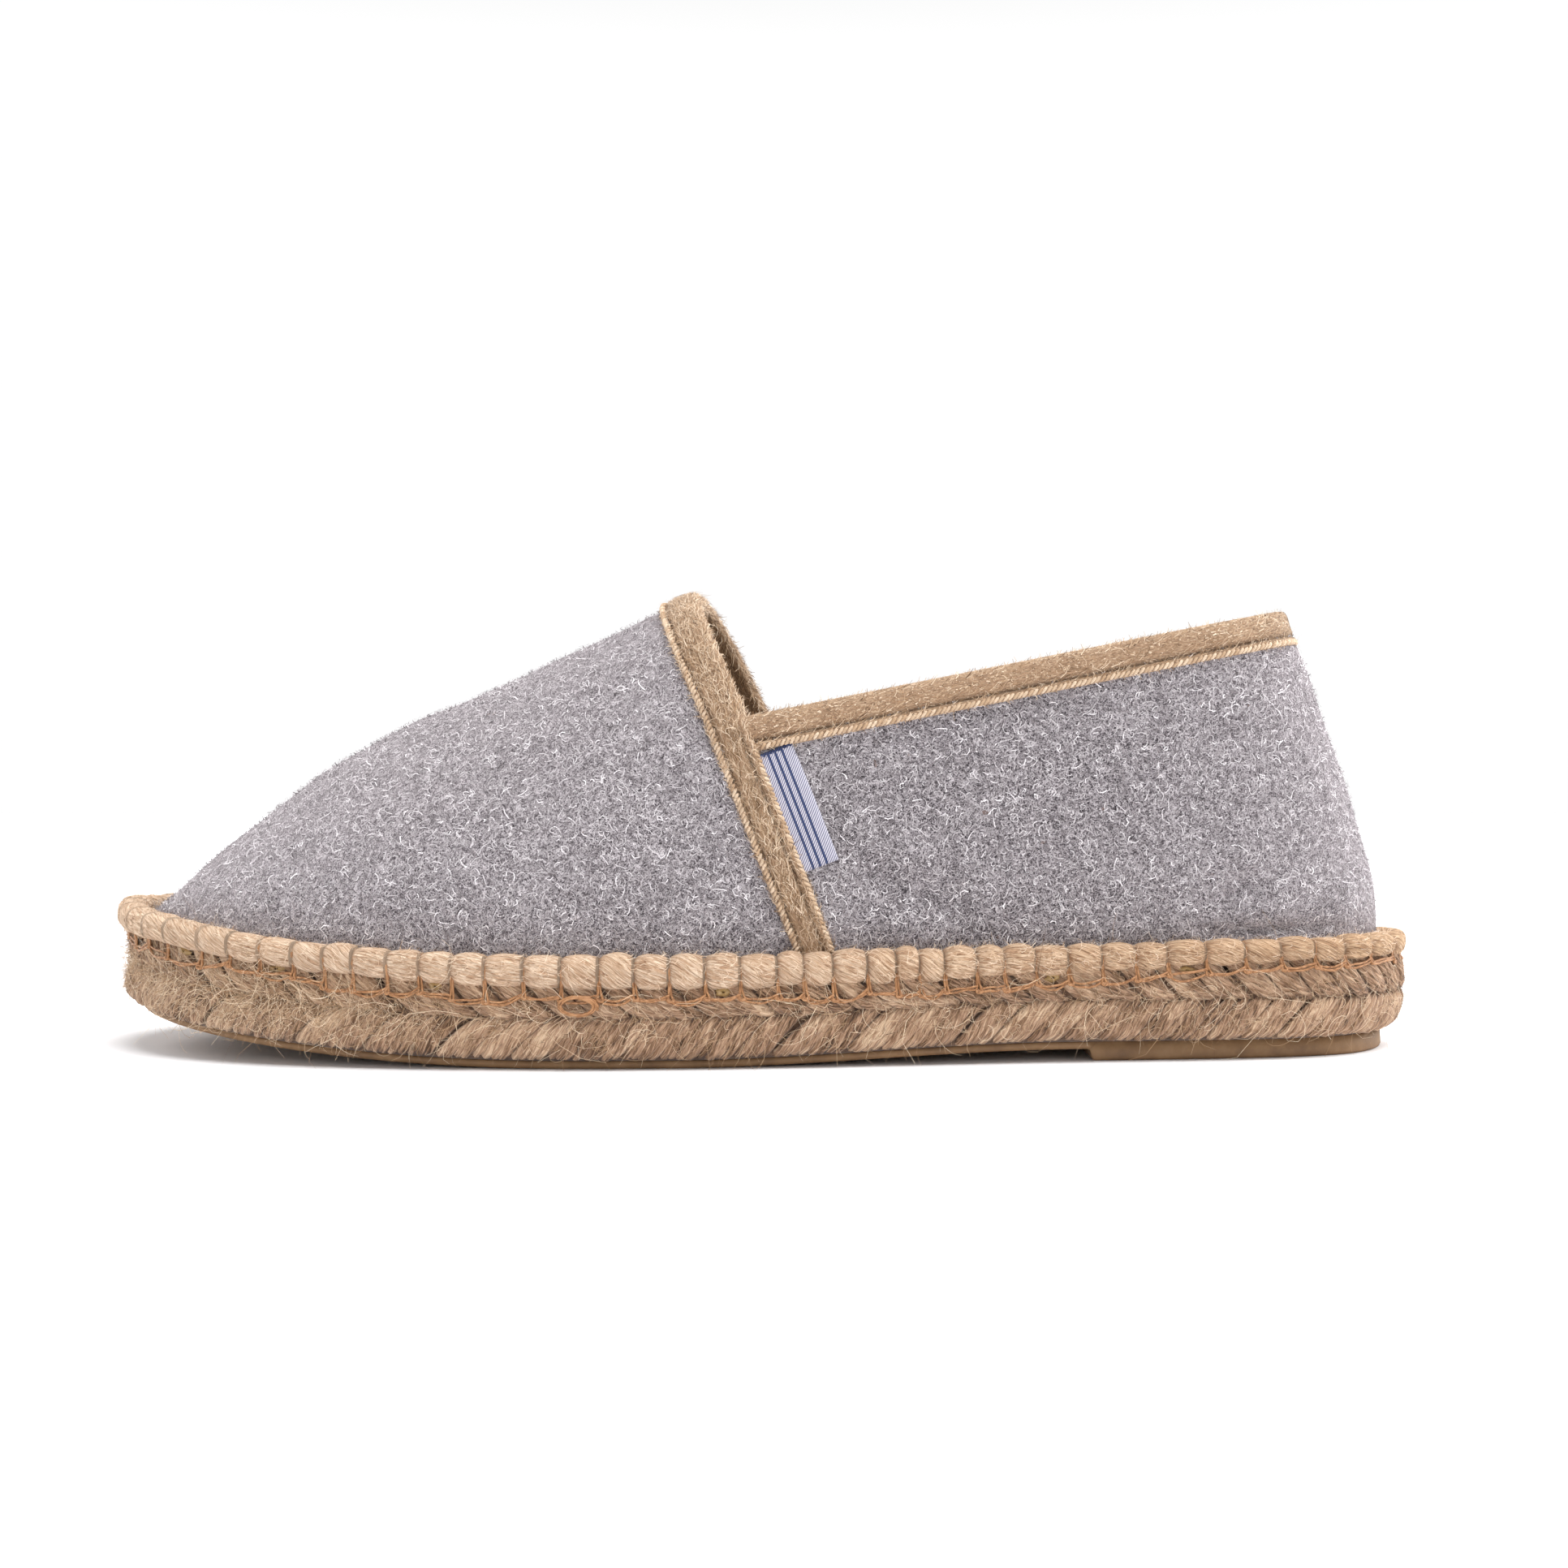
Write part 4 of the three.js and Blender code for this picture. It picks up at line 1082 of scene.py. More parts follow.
innerCount = round(innerLength / cord["pitch"])
innerUneven = chance.uniform(-cord["innerUneven"], cord["innerUneven"], innerCount)
stitchSides = np.concatenate([
    np.array(cord["stitches"]) / outerLength,
    1 + (np.arange(innerCount) + innerUneven) / innerCount,
])
nextSides = np.concatenate([stitchSides[1:], [stitchSides[0] + 2]])
stitchCount = len(stitchSides)
upwards = np.array([0, 0, 1.0])


def cordMiddle(sides):
    angle = angleAlong(sides)
    x, y = outline(angle, cord["width"] / 2 - cord["overhang"])
    edgeX, edgeY = outline(angle)
    out = unit(np.stack([edgeX - x, edgeY - y, np.zeros_like(x)], -1))
    return np.stack([x, y, cordTop(x) - cordHeight(x) / 2], -1), out


def pinchAt(x):
    buried = 0.12 * smoothStep(-96, -110, x)  # the stitches sink into the fluff at the toe
    return cord["pinchToe"] + buried + (cord["pinchHeel"] - cord["pinchToe"]) * smoothStep(-110, 20, x)


def boxiness(around):  # fuller than round: a soft cord pressed between shoe and rope
    return 1 + cord["boxy"] * np.sin(2 * around) ** 2


def makeEdgeCord():
    look = cord
    rings = look["rings"]
    share = np.arange(rings) / rings
    sides = stitchSides[:, None] + (nextSides - stitchSides)[:, None] * share[None, :]
    puff = np.repeat(chance.uniform(-1, 1, stitchCount), rings)
    sides = sides.ravel()
    middle, out = cordMiddle(sides)
    depth = np.tile(np.abs(np.sin(share * math.pi)) ** 0.5, stitchCount)
    pinch = pinchAt(middle[:, 0])
    swell = pinch + (1.05 - pinch) * depth * (1 + look["puffUneven"] * puff)
    wander = np.repeat(chance.uniform(-look["wander"], look["wander"], stitchCount), rings) * depth
    middle = middle + upwards * wander[:, None]
    around = (np.arange(look["around"]) / look["around"] - 0.5) * turn
    # Plies that slant around the cord, and a lumpy surface
    length = sides * sideLength
    twist = look["twist"] * np.sin(5 * around[None, :] + length[:, None] * 1.1)
    lumps = look["lump"] * np.sin(3 * around[None, :] - length[:, None] * 0.83 + puff[:, None] * 3)
    radius = swell[:, None] * (1 + twist + lumps)
    reach = radius * np.cos(around) * look["width"] / 2 * boxiness(around)
    rise = radius * np.sin(around) * boxiness(around) * cordHeight(middle[:, :1]) / 2
    points = middle[:, None] + out[:, None] * reach[..., None] + upwards * rise[..., None]
    faces = gridFaces(len(sides), look["around"], wrapRows=True, wrapColumns=True)
    # The spun fibres slant across each puff, as the twist lies there
    slant = np.repeat(chance.uniform(0.1, 0.75, stitchCount), rings)[:, None]
    lay = np.stack(np.broadcast_arrays(
        length[:, None] + 1.3 * around,
        around * look["width"] / 2 + slant * length[:, None],
        puff[:, None] * 9), -1)
    backward = np.repeat(smoothStep(-40, 130, middle[:, 0]) * 0.85, look["around"])
    # Painted shade, deepest at the pinches where the stitches draw the cord in
    cavityShade = np.repeat((1 - depth) ** 2 * (1.07 - pinch) * 3.4, look["around"])
    makePiece("edgeCord", points, [faces], [cordMaterial()], ("edge_cord",),
              marks={"lay": lay, "tone": backward, "cavityShade": cavityShade})
    return points


def makeCordFuzz(points):
    look = cord
    count = fewer(look["fuzz"])
    place, normal, index = scatter(points, count, wrapColumns=True)
    run = np.gradient(points, axis=0).reshape(-1, 3)[index]
    # Outward is away from the nearest point of the cord's middle line
    middle = cordMiddle(fineSides[::40])[0]
    nearest = middle[np.argmin(((place[:, None, :2] - middle[None, :, :2]) ** 2).sum(-1), 1)]
    normal = np.where(np.sum((place - nearest) * normal, -1, keepdims=True) < 0, -normal, normal)
    heading = unit(run) + 0.5 * chance.normal(size=(count, 3))
    length = chance.uniform(*look["fuzzLength"], count)
    width = chance.uniform(*look["fuzzWidth"], count)
    rise = 0.05 + 0.8 * chance.random(count) ** 2
    curl = chance.uniform(-1.6, 1.6, count)
    ribbons, faces, each = fibres(place, normal, heading, length, width, 3, rise, curl)
    tone = fibreTones(count, each, 0.55)
    stops = [(0.0, "#a78262"), (0.4, "#d8b796"), (1.0, "#fdebd4")]
    material = fibreMaterial("cordFuzzEnds", stops, 0.2)
    makePiece("cordFuzz", ribbons, [faces], [material], marks={"tone": tone})


# Rope sole: a core, and two rows of slanting strands laid on its side

rope = {
    "bundlePitch": 7.2, "plies": 4, "slant": 9.6, "width": 2.0, "depth": 1.9, "steps": 12, "around": 8,
    "toeInset": 1.7, "toeFoot": 1.5, "heelFoot": 1.9, "footShare": 0.42,  # worn back at the toe and the heel
    "topFill": 1.4,  # it fills up to the cord where that is thin
    "coreCount": 320, "coreShade": 0.4,
    # height as a share, and inset, of the core that shows between the strands
    "core": [(0.0, 3.4), (0.06, 2.2), (0.3, 1.5), (0.48, 2.2), (0.66, 1.5), (sole["ledge"], 1.9)],
    # share of a strand's run, its height above the underside as a share, inset of its outer face
    "lower": [
        (0.0, 0.07, 3.4), (0.08, 0.07, 1.6), (0.16, 0.11, 0.6), (0.38, 0.25, 0.15), (0.62, 0.38, 0.1),
        (0.84, 0.48, 0.7), (1.0, 0.53, 1.9),
    ],
    "upper": [
        (0.0, 0.96, 2.0), (0.15, 0.88, 1.1), (0.4, 0.73, 0.4), (0.65, 0.6, 0.35), (0.85, 0.54, 1.0),
        (1.0, 0.5, 2.2),
    ],
    "combed": 9000, "loose": 4600, "fibreWidth": (0.06, 0.12), "fibreLength": (1.5, 16), "floorGap": 0.3,
}


def wear(x, up):
    # How far the rope lies behind its usual side: worn back at the toe's tip, though less at its foot there,
    # and drawn in at the heel's foot
    foot = np.clip(1 - up / rope["footShare"], 0, 1)
    tip = rope["toeInset"] * smoothStep(-112, -134, x)
    heel = rope["heelFoot"] * smoothStep(104, 130, x)
    return tip + foot * (heel - rope["toeFoot"] * smoothStep(-108, -128, x))


def makeRopeCore():
    look = rope
    angles = angleAlong(np.linspace(0, 2, look["coreCount"], endpoint=False))
    levels = look["core"] + [(sole["ledge"], featherInset), (1.0, featherInset)]
    rings = []
    for up, inset in levels:
        x, y = outline(angles, inset + wear(outline(angles)[0], up) * (up < sole["ledge"]))
        rings.append(np.stack([x, y, ropeBottom(x) + up * sole["rope"]], -1))
    points = np.stack(rings)
    count = len(angles)
    walls = gridFaces(len(levels), count, wrapColumns=True)
    half = np.arange(1, count // 2)
    bottom = np.stack([half[:-1], count - half[:-1], count - half[1:], half[1:]], -1)
    lid = bottom[:, ::-1] + (len(levels) - 1) * count
    ends = np.array([[0, count - 1, 1], [count // 2, count // 2 - 1, count // 2 + 1]])
    lidEnds = ends[:, ::-1] + (len(levels) - 1) * count
    lay = np.stack([points[..., 0] + points[..., 1], points[..., 2], points[..., 1]], -1)
    # The core is painted darker all over: painted shade behind the strands
    plain = np.zeros(points.shape[:2])
    makePiece("ropeCore", points, [walls, bottom, lid, ends, lidEnds], [coreMaterial], ("rope_sole",),
              marks={"lay": lay, "tone": plain, "cavityShade": plain + look["coreShade"]})


def makeStrands():
    look = rope
    bundles = 2 * round(sideLength / look["bundlePitch"])
    perRow = bundles * look["plies"]
    share = np.linspace(0, 1, look["steps"])
    ply = np.arange(perRow) % look["plies"]
    paths = []
    widths = []
    tones = []
    for key, begin, apart in (("lower", 0.0, 0.1), ("upper", 1.5, 0.2)):
        table = look[key]
        up = smoothCurve([row[0] for row in table], [row[1] for row in table])(share)
        inset = smoothCurve([row[0] for row in table], [row[2] for row in table])(share)
        # The plies of a bundle lie close together, with a wider and deeper gap before the next bundle
        close = (ply - (look["plies"] - 1) / 2) * -apart
        start = (np.arange(perRow) + begin + close + chance.uniform(-0.14, 0.14, perRow)) * 2 / perRow
        jitter = chance.uniform(-1, 1, (4, perRow, 1))
        together = np.repeat(chance.uniform(-1, 1, bundles), look["plies"])[:, None]
        slant = look["slant"] * (1 + 0.12 * together + 0.05 * jitter[0])
        sides = start[:, None] + share[None, :] * slant / sideLength
        depth = look["depth"] * (1 + 0.08 * jitter[1])
        outer = np.abs(ply - (look["plies"] - 1) / 2)[:, None] > 1
        buried = 2.5 * apart * outer + 1.6 * apart * together + 0.12 * jitter[2]
        x = outline(angleAlong(sides))[0]
        buried = buried * (1 - 0.5 * smoothStep(-50, -100, x))
        x, y = outline(angleAlong(sides), inset[None, :] + depth / 2 + buried + wear(x, up[None, :]))
        fill = look["topFill"] * np.clip((up[None, :] - 0.5) / 0.46, 0, 1) * (1 - cordShare(x)) / 0.2
        z = ropeBottom(x) + (up[None, :] + 0.012 * jitter[3]) * sole["rope"] + fill
        paths.append(np.stack([x, y, z], -1))
        radius = look["width"] / 2 * (1 + 0.1 * jitter[1]) * (1 - 0.4 * share**5)
        widths.append(np.broadcast_to(radius, x.shape))
        tones.append(0.55 * together[:, 0] + chance.uniform(-0.45, 0.45, perRow))
    paths = np.concatenate(paths)
    widths = np.concatenate(widths)
    tones = np.concatenate(tones)
    edge = np.gradient(paths, axis=1)
    # Outward from the sole, square to each strand
    centre = np.zeros_like(paths)
    centre[..., 0] = np.clip(paths[..., 0], -95, 100)
    outward = paths - centre
    outward[..., 2] = 0
    outward = unit(outward - unit(edge) * np.sum(outward * unit(edge), -1, keepdims=True))
    points, faceSets = tubes(paths, widths, look["around"], look["depth"] / look["width"], outward)
    # Plies twist around each strand as shallow grooves
    around = np.arange(look["around"]) / look["around"] * turn
    run = np.linspace(0, 12, look["steps"])
    lay = np.stack(np.broadcast_arrays(
        run[None, :, None] + 3.0 * around[None, None, :] / 2,
        around[None, None, :] * look["width"] / 2 - run[None, :, None] * 0.5,
        tones[:, None, None] * 50), -1)
    tone = np.repeat(tones, look["steps"] * look["around"])
    # Painted shade on each strand's sides, deepest where they turn in towards the rope
    cavityShade = np.broadcast_to(np.clip(0.35 - 0.75 * np.sin(around), 0, 1), lay.shape[:3])
    makePiece("ropeStrands", points, faceSets, [strandMaterial],
              marks={"lay": lay, "tone": tone, "cavityShade": cavityShade})
    return paths, outward, widths


def makeJuteFibres(paths, outward, widths):
    # Combed fibres lie along the strands, and loose ones curl away from them
    look = rope
    # name, count, steps, spread of their heading, how their lengths vary, least and most rise, bend
    kinds = (("combedJute", look["combed"], 3, 0.5, (2.5, 1.7), (0.02, 0.35), 1.2),
             ("looseJute", look["loose"], 7, 1.2, (3.0, 2.0), (0.05, 1.3), 3.8))
    stops = [(0.0, "#5f452e"), (0.4, "#b3916f"), (1.0, "#f2dec2")]
    material = fibreMaterial("looseJuteEnds", stops, 0.1)
    for name, count, steps, spread, (shape, scale), (low, high), bend in kinds:
        count = fewer(count)
        # Most of them around the toe, where the rope is rubbed
        rubbed = 0.6 + 1.6 * smoothStep(-40, -115, paths[:, 5, 0])
        strand = chance.choice(len(paths), count, p=rubbed / rubbed.sum())
        step = chance.integers(3, look["steps"] - 1, count)
        side = chance.uniform(-0.75, 0.75, count)
        run = unit(paths[strand, step + 1] - paths[strand, step - 1])
        out = outward[strand, step]
        across = np.cross(run, out)
        radius = widths[strand, step]
        place = (paths[strand, step] + across * (side * radius)[:, None]
                 + out * (np.sqrt(1 - side**2) * radius * look["depth"] / look["width"])[:, None])
        normal = unit(out + across * side[:, None])
        heading = run * chance.choice([-1, 1], (count, 1)) + spread * chance.normal(size=(count, 3))
        length = np.clip(chance.gamma(shape, scale, count), *look["fibreLength"])
        width = chance.uniform(*look["fibreWidth"], count)
        rise = chance.uniform(low, high, count) ** 1.5
        curl = chance.uniform(-bend, bend, count)
        points, faces, each = fibres(place, normal, heading, length, width, steps, rise, curl)
        points[:, 2] = np.maximum(points[:, 2], look["floorGap"])
        makePiece(name, points, [faces], [material], marks={"tone": fibreTones(count, each)})


# Stitches: each wraps the cord, knots under it, and runs on to the next

thread = {
    "radius": 0.28, "tight": 0.7, "drop": 2.2, "heelRise": 1.2, "sag": 0.8, "sides": 5,
    "knot": (0.4, 1.0), "apart": 0.24, "stand": -0.35,
    "looseAt": 131.0, "coilWidth": 3.9, "coilHeight": 1.9, "coilTurns": 2.3,  # one end was left long
}


def overRope(sides, below, stand):  # a place on the rope's side, that far under the cord
    x = outline(angleAlong(sides))[0]
    tight = thread["tight"] * smoothStep(112, 132, x)
    x, y = outline(angleAlong(sides), wear(x, 1.0) + tight - stand)
    return np.stack([x, y, cordTop(x) - cordHeight(x) - below], -1)


def makeStitches():
    # Doubled thread: around the cord, through a small knot, and along the rope to the next stitch
    look = thread
    here = stitchSides
    middle, out = cordMiddle(here)
    count = len(here)
    pinch = pinchAt(middle[:, 0])[:, None]
    tangent = np.cross(out, upwards)
    usualDrop = look["drop"] - look["heelRise"] * smoothStep(40, 110, middle[:, :1])
    drop = chance.uniform(0.7, 1.35, (count, 1)) * usualDrop
    allPaths = []
    for strand in (-1, 1):
        lean = chance.uniform(-0.5, 0.5, (count, 1))
        wrap = np.linspace(2.3, -1.0, 12)[None, :]
        deep = look["radius"] * (0.3 + 2.4 * smoothStep(-98, -110, middle[:, :1]))
        reach = (pinch * cord["width"] / 2 * boxiness(wrap) - deep) * np.cos(wrap)
        rise = (pinch * cordHeight(middle[:, :1]) / 2 * boxiness(wrap) - deep) * np.sin(wrap)
        shift = lean * (0.5 - np.linspace(0, 1, 12)[None, :]) + strand * look["radius"] * 0.75
        over = (middle[:, None] + out[:, None] * reach[..., None] + upwards * rise[..., None]
                - tangent[:, None] * shift[..., None])
        loop = np.linspace(0, 1, 9)[None, :]
        loopSize = chance.uniform(*look["knot"], (count, 1))
        knotSides = here[:, None] + (np.sin(loop * turn) * loopSize * strand + 0.2) / sideLength
        knot = overRope(knotSides, drop - 0.1 - np.cos(loop * turn) * 0.5 * loopSize,
                        look["stand"] + 0.5 * np.sin(loop * math.pi))
        share = np.linspace(0.06, 1.0, 11)[None, :]
        nextDrop = np.roll(drop, -1, 0)
        runSides = here[:, None] + (nextSides - here)[:, None] * share
        sag = look["sag"] * chance.uniform(-0.6, 1.3, (count, 1)) * np.sin(share * math.pi)
        apart = strand * look["apart"] * (1 + 0.6 * np.sin(share * 9 + strand + 5 * lean))
        run = overRope(runSides, drop * (1 - share) + (nextDrop - 0.7 * share) * share + sag + apart,
                       look["stand"] + 0.2 * np.sin(share * math.pi))
        paths = np.concatenate([over, knot, run], 1)
        for _ in range(2):
            paths[:, 1:-1] = (paths[:, :-2] + paths[:, 1:-1] * 2 + paths[:, 2:]) / 4
        allPaths.append(paths)
    # The long end hangs in a coil
    spin = np.linspace(0, 1, allPaths[0].shape[1])
    bearing = spin * look["coilTurns"] * turn - 0.4
    coilAlong = look["looseAt"] - 0.6 + look["coilWidth"] * np.cos(bearing) * (1 - 0.25 * spin)
    coilBelow = 3.0 - look["coilHeight"] * np.sin(bearing) * (1 - 0.2 * spin)
    coil = overRope(coilAlong / outerLength, coilBelow, 0.5 + 0.7 * spin)
    nearest = int(np.argmin(np.abs(here - look["looseAt"] / outerLength)))
    paths = np.concatenate(allPaths + [coil[None]])
    out = np.concatenate([out, out, out[nearest:nearest + 1]])
    radii = look["radius"] * chance.uniform(0.85, 1.1, (len(paths), 1)) * np.ones(paths.shape[1])[None, :]
    points, faceSets = tubes(paths, radii, look["sides"], 1.0, np.broadcast_to(out[:, None], paths.shape))
    length = np.cumsum(np.full(paths.shape[1], 0.8))
    lay = np.stack(np.broadcast_arrays(
        length[None, :, None],
        np.arange(look["sides"])[None, None, :] * 0.3,
        chance.uniform(0, 50, (len(paths), 1, 1))), -1)
    makePiece("stitches", points, faceSets, [threadMaterial()], marks={"lay": lay})


# Dried glue that squeezed out under the cord between some stitches

glue = {"spots": 15, "width": 3.4, "height": 1.5, "thick": 0.5, "below": 0.5, "stand": -1.1}


def makeGlue():
    look = glue
    spots = chance.choice(len(stitchSides) - 1, look["spots"], replace=False)
    middles = (stitchSides[spots] + stitchSides[spots + 1]) / 2
    around = np.linspace(0, turn, 15)[:-1]
    rings = np.array([1.0, 0.85, 0.55, 0.2])
    points = []
    faceSets = []
    for spot, place in enumerate(middles):
        wobble = 1 + 0.2 * np.sin(2 * around + chance.uniform(0, 6))
        wobble = wobble + 0.12 * np.sin(5 * around + chance.uniform(0, 6))
        reach = rings[:, None] * wobble[None, :]
        sides = place + np.cos(around) * reach * look["width"] / 2 / sideLength
        below = look["below"] - np.sin(around) * reach * look["height"] / 2
        stand = look["stand"] + look["thick"] * np.sqrt(1 - rings**2)[:, None] + np.zeros_like(reach)
        points.append(overRope(sides, below, stand).reshape(-1, 3))
        start = spot * len(rings) * len(around)
        faceSets.append(gridFaces(len(rings), len(around), wrapColumns=True)[:, ::-1] + start)
        faceSets.append((np.arange(len(around)) + start + (len(rings) - 1) * len(around))[None])
    # Clear amber latex glue, dried to a skin
    material, tree, surface = newMaterial("driedLatexGlue", {"Roughness": 0.3})
    amber = noise(tree, objectPlaces(tree), 1.6, 2.0)
    linkSurface(tree, surface, colour=ramp(tree, amber, [(0.3, "#84683d"), (0.7, "#a98a59")]))
    makePiece("glueSpots", np.concatenate(points), faceSets, [material])


# Outsole with fine cross ribs underneath, and the insole

outsole = {
    "inset": 3.4, "endInset": 5.0, "round": 0.7, "blockFront": 66, "blockSlope": 0.8,
    "ribPitch": 2.0, "ribDepth": 0.4, "ribReach": 0.9, "step": 0.4,
}

insole = {"gap": 0.5, "thick": 1.45, "dish": 0.5, "rimRise": 0.35, "seat": 0.05, "stations": 260}


def sheetRing(x, inset, endInset):
    # The two sides of the outline at each x, for a sheet cut to those insets
    allInsets = inset + (endInset - inset) * np.cos(halfTurn) ** 2
    low = np.interp(x, *outline(halfTurn, allInsets))
    high = np.interp(x, *outline(turn - halfTurn, allInsets))
    return low, high


def makeSheet(name, x, insets, sections, material, replaced):
    # A closed sheet of strips along the foot. sections run around it, from the underside over the rim to the
    # top: inset beyond the rim, heights at x, and place across as a share of the half width.
    points = []
    for push, heights, share in sections:
        low, high = sheetRing(x, insets[0] + push, insets[1] + push)
        y = (low + high) / 2 + (high - low) / 2 * share
        points.append(np.stack([x, y, heights], -1))
    points = np.stack(points, 1)
    faces = gridFaces(points.shape[0], points.shape[1], wrapColumns=True)
    around = points.shape[1]
    caps = [np.arange(around)[None, ::-1], (np.arange(around) + (len(x) - 1) * around)[None]]
    makePiece(name, points, [faces] + caps, [material], replaced)


def makeOutsole():
    look = outsole
    ends = outline(np.array([0.0, math.pi]), look["endInset"])[0]
    reach = (ends[1] - ends[0]) / 2
    centre = (ends[1] + ends[0]) / 2
    fine = np.linspace(-1, 1, int(2 * reach / look["step"]))
    x = centre + reach * np.sign(fine) * (1 - (1 - np.abs(fine)) ** 1.15)
    x[0] += 0.02
    x[-1] -= 0.02
    block = smoothStep(look["blockFront"], look["blockFront"] + look["blockSlope"], x)
    under = lift(x) * (1 - block)
    rib = look["ribDepth"] * np.clip(0.5 + 1.4 * np.sin(x / look["ribPitch"] * turn), 0, 1)
    top = ropeBottom(x) - 0.1
    sections = []
    for share in np.linspace(-0.96, 0.96, 13):
        sections.append((look["round"], under + rib * (abs(share) < look["ribReach"]), share))
    rim = [(look["round"], 0.0), (0.2, 0.2), (0.0, look["round"])]
    for push, up in rim:
        sections.append((push, under + up, 1.0))
    for share in (1.0, 0.5, 0.0, -0.5, -1.0):
        sections.append((0.15 if abs(share) == 1 else 0.0, top, share))
    for push, up in rim[::-1]:
        sections.append((push, under + up, -1.0))
    insets = (look["inset"], look["endInset"])
    makeSheet("rubberOutsole", x, insets, sections, rubberMaterial(), ("outsole",))


def makeInsole():
    look = insole
    inset = featherInset + last["wall"] + look["gap"]
    ends = outline(np.array([0.0, math.pi]), inset)[0]
    x = np.linspace(ends[0] + 0.05, ends[1] - 0.05, look["stations"])
    sections = [(0.0, ropeTop(x) + look["seat"], share) for share in np.linspace(-1, 1, 7)]
    for share in np.linspace(1, -1, 25):
        hollow = look["dish"] * (1 - share**2) ** 2
        up = look["thick"] - hollow + look["rimRise"] * abs(share) ** 6
        sections.append((0.0, ropeTop(x) + up, share))
    makeSheet("insoleCloth", x, (inset, inset), sections, insoleMaterial, ("insole",))


# Floor, lights and camera

studio = {
    "viewX": 5.35, "viewY": -470.0, "viewZ": 55.0,  # where the photograph was taken from
    "lens": 50.48, "sensor": 36.0,
    "floorSize": 7.0, "floorColour": "#f9f9fb",
    "horizon": 1.01, "zenith": 0.3, "wallsTo": 0.32, "ceilingFrom": 0.6,
    "sun": 3.9, "sunSpread": 50.0, "sunTilt": (4, 12),
    # two square panels: name, place in m, power
    "panels": [("leftPanel", (-1.0, 0.45, 0.6), 6.0), ("rightPanel", (1.0, 0.25, 0.6), 8.0)],
    "panelSize": 0.6, "panelAim": (0.0, 0.0, 0.05),
}


def addPanel(name, place, power):
    light = bpy.data.lights.new(name, "AREA")
    light.shape = "SQUARE"
    light.size = studio["panelSize"]
    light.energy = power
    lamp = bpy.data.objects.new(name, light)
    bpy.context.scene.collection.objects.link(lamp)
    lamp.location = place
    ahead = np.array(studio["panelAim"]) - np.array(place)
    flatRun = math.hypot(ahead[0], ahead[1])
    lamp.rotation_euler = (math.atan2(flatRun, -ahead[2]), 0, math.atan2(ahead[0], -ahead[1]) + math.pi)


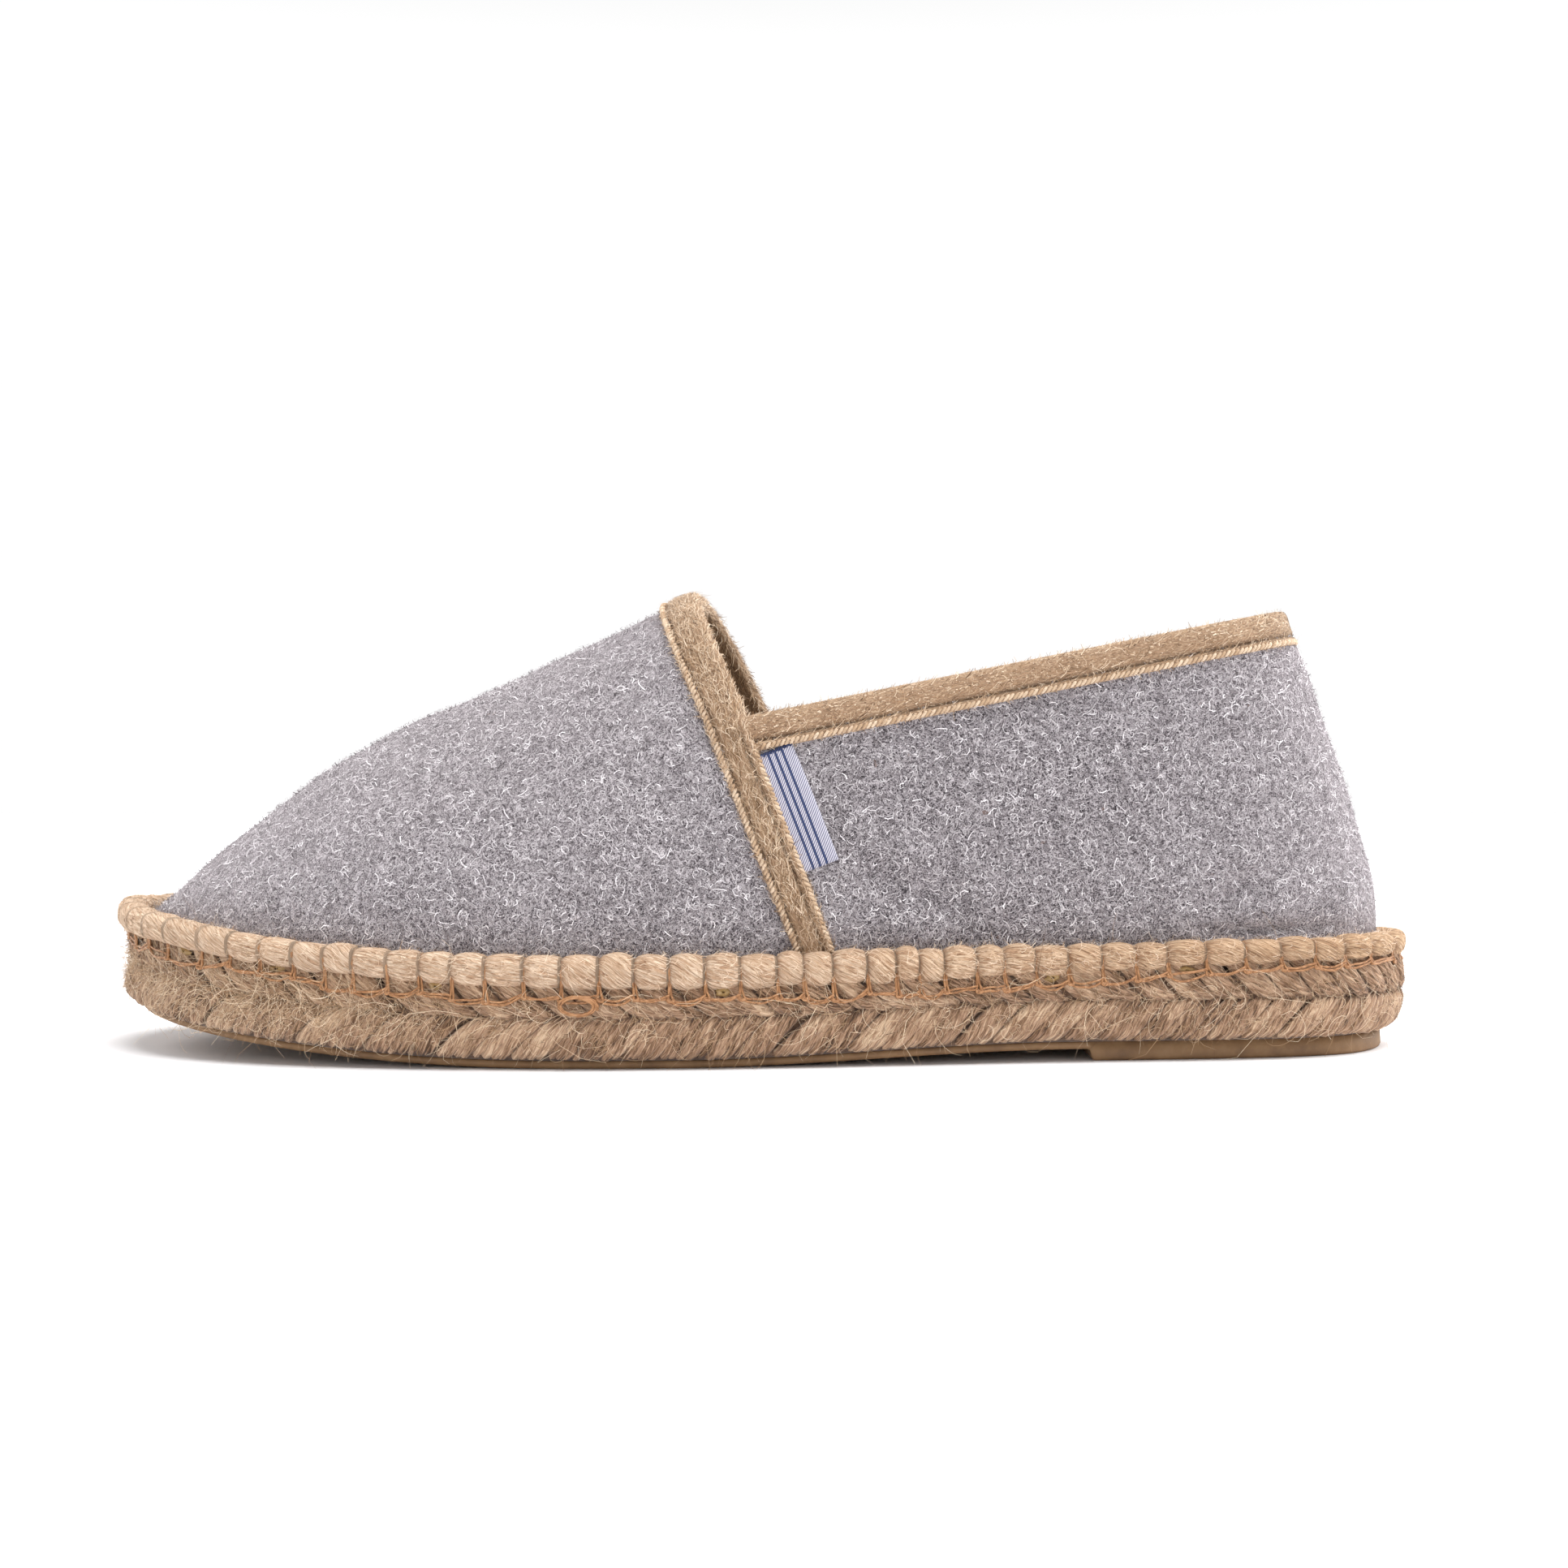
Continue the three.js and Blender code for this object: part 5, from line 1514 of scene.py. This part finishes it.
def makeStudio():
    look = studio
    scene = bpy.context.scene
    camera = bpy.data.cameras.new("photoView")
    camera.lens = look["lens"]
    camera.sensor_width = look["sensor"]
    camera.clip_start = 0.01
    viewer = bpy.data.objects.new("photoView", camera)
    scene.collection.objects.link(viewer)
    viewer.location = (look["viewX"] * mm, (look["viewY"] + sole["sideShift"]) * mm, look["viewZ"] * mm)
    viewer.rotation_euler = (math.pi / 2, 0, 0)
    scene.camera = viewer
    floorMesh = bpy.data.meshes.new("studioFloor")
    half = look["floorSize"] / 2
    corners = [(-half, -half, 0), (half, -half, 0), (half, half, 0), (-half, half, 0)]
    floorMesh.from_pydata(corners, [], [(0, 1, 2, 3)])
    shader = {"Base Color": colour(look["floorColour"]), "Roughness": 0.9, "Specular IOR Level": 0.1}
    floorMesh.materials.append(newMaterial("paintedStudioFloor", shader)[0])
    floor = bpy.data.objects.new("studioFloor", floorMesh)
    scene.collection.objects.link(floor)
    # White walls all around and a dimmer ceiling
    world = bpy.data.worlds.new("whiteStudio")
    world.use_nodes = True
    tree = world.node_tree
    direction = addNode(tree, "ShaderNodeTexCoord").outputs["Generated"]
    upward = addNode(tree, "ShaderNodeSeparateXYZ", {"Vector": direction}).outputs["Z"]
    brightness = remap(tree, upward, look["wallsTo"], look["ceilingFrom"], look["horizon"], look["zenith"])
    tree.links.new(brightness, tree.nodes["Background"].inputs["Strength"])
    tree.nodes["Background"].inputs["Color"].default_value = colour("#ffffff")
    scene.world = world
    scene.view_settings.view_transform = "Standard"
    light = bpy.data.lights.new("overheadSoftbox", "SUN")
    light.energy = look["sun"]
    light.angle = math.radians(look["sunSpread"])
    lamp = bpy.data.objects.new("overheadSoftbox", light)
    lamp.rotation_euler = (math.radians(look["sunTilt"][0]), math.radians(look["sunTilt"][1]), 0)
    scene.collection.objects.link(lamp)
    for name, place, power in look["panels"]:
        addPanel(name, place, power)
    print("studio ready")


makeStudio()
liningStops = [(0.15, "#8d7f6c"), (0.5, "#b5a78f"), (0.9, "#cfc2aa")]
insoleStops = [(0.15, "#a08a68"), (0.5, "#cbb693"), (0.9, "#e0cfae")]
coreStops = [(0.25, "#3f2d1f"), (0.5, "#6c5240"), (0.75, "#8f7258")]
strandStops = [(0.3, "#453020"), (0.42, "#83634a"), (0.54, "#b59276"), (0.7, "#e3c7a7")]
tapeNapStops = [(0.0, "#5b412b"), (0.42, "#b1906f"), (1.0, "#f6e2c8")]
liningMaterial = canvasMaterial("cottonCanvasLining", 0.9, liningStops, "XZ")
insoleMaterial = canvasMaterial("insoleCanvas", 1.1, insoleStops)
coreMaterial = juteMaterial("juteCore", coreStops)
strandMaterial = juteMaterial("braidedJute", strandStops)
tapeNapMaterial = fibreMaterial("tapeNapEnds", tapeNapStops, 0.2)

suedeFace = makeUpper()
makeSuedeNap(suedeFace)
cottonTape = tapeMaterial()
vampFace, vampRibs = makeVampTape(cottonTape)
collarFace, collarRibs = makeCollarTape(cottonTape)
makeTapeNap("vampTapeNap", vampFace)
makeTapeNap("collarTapeNap", collarFace)
makeTapeEdges(vampRibs + collarRibs)
makeTag()
makeCordFuzz(makeEdgeCord())
makeRopeCore()
makeJuteFibres(*makeStrands())
makeStitches()
makeGlue()
makeOutsole()
makeInsole()
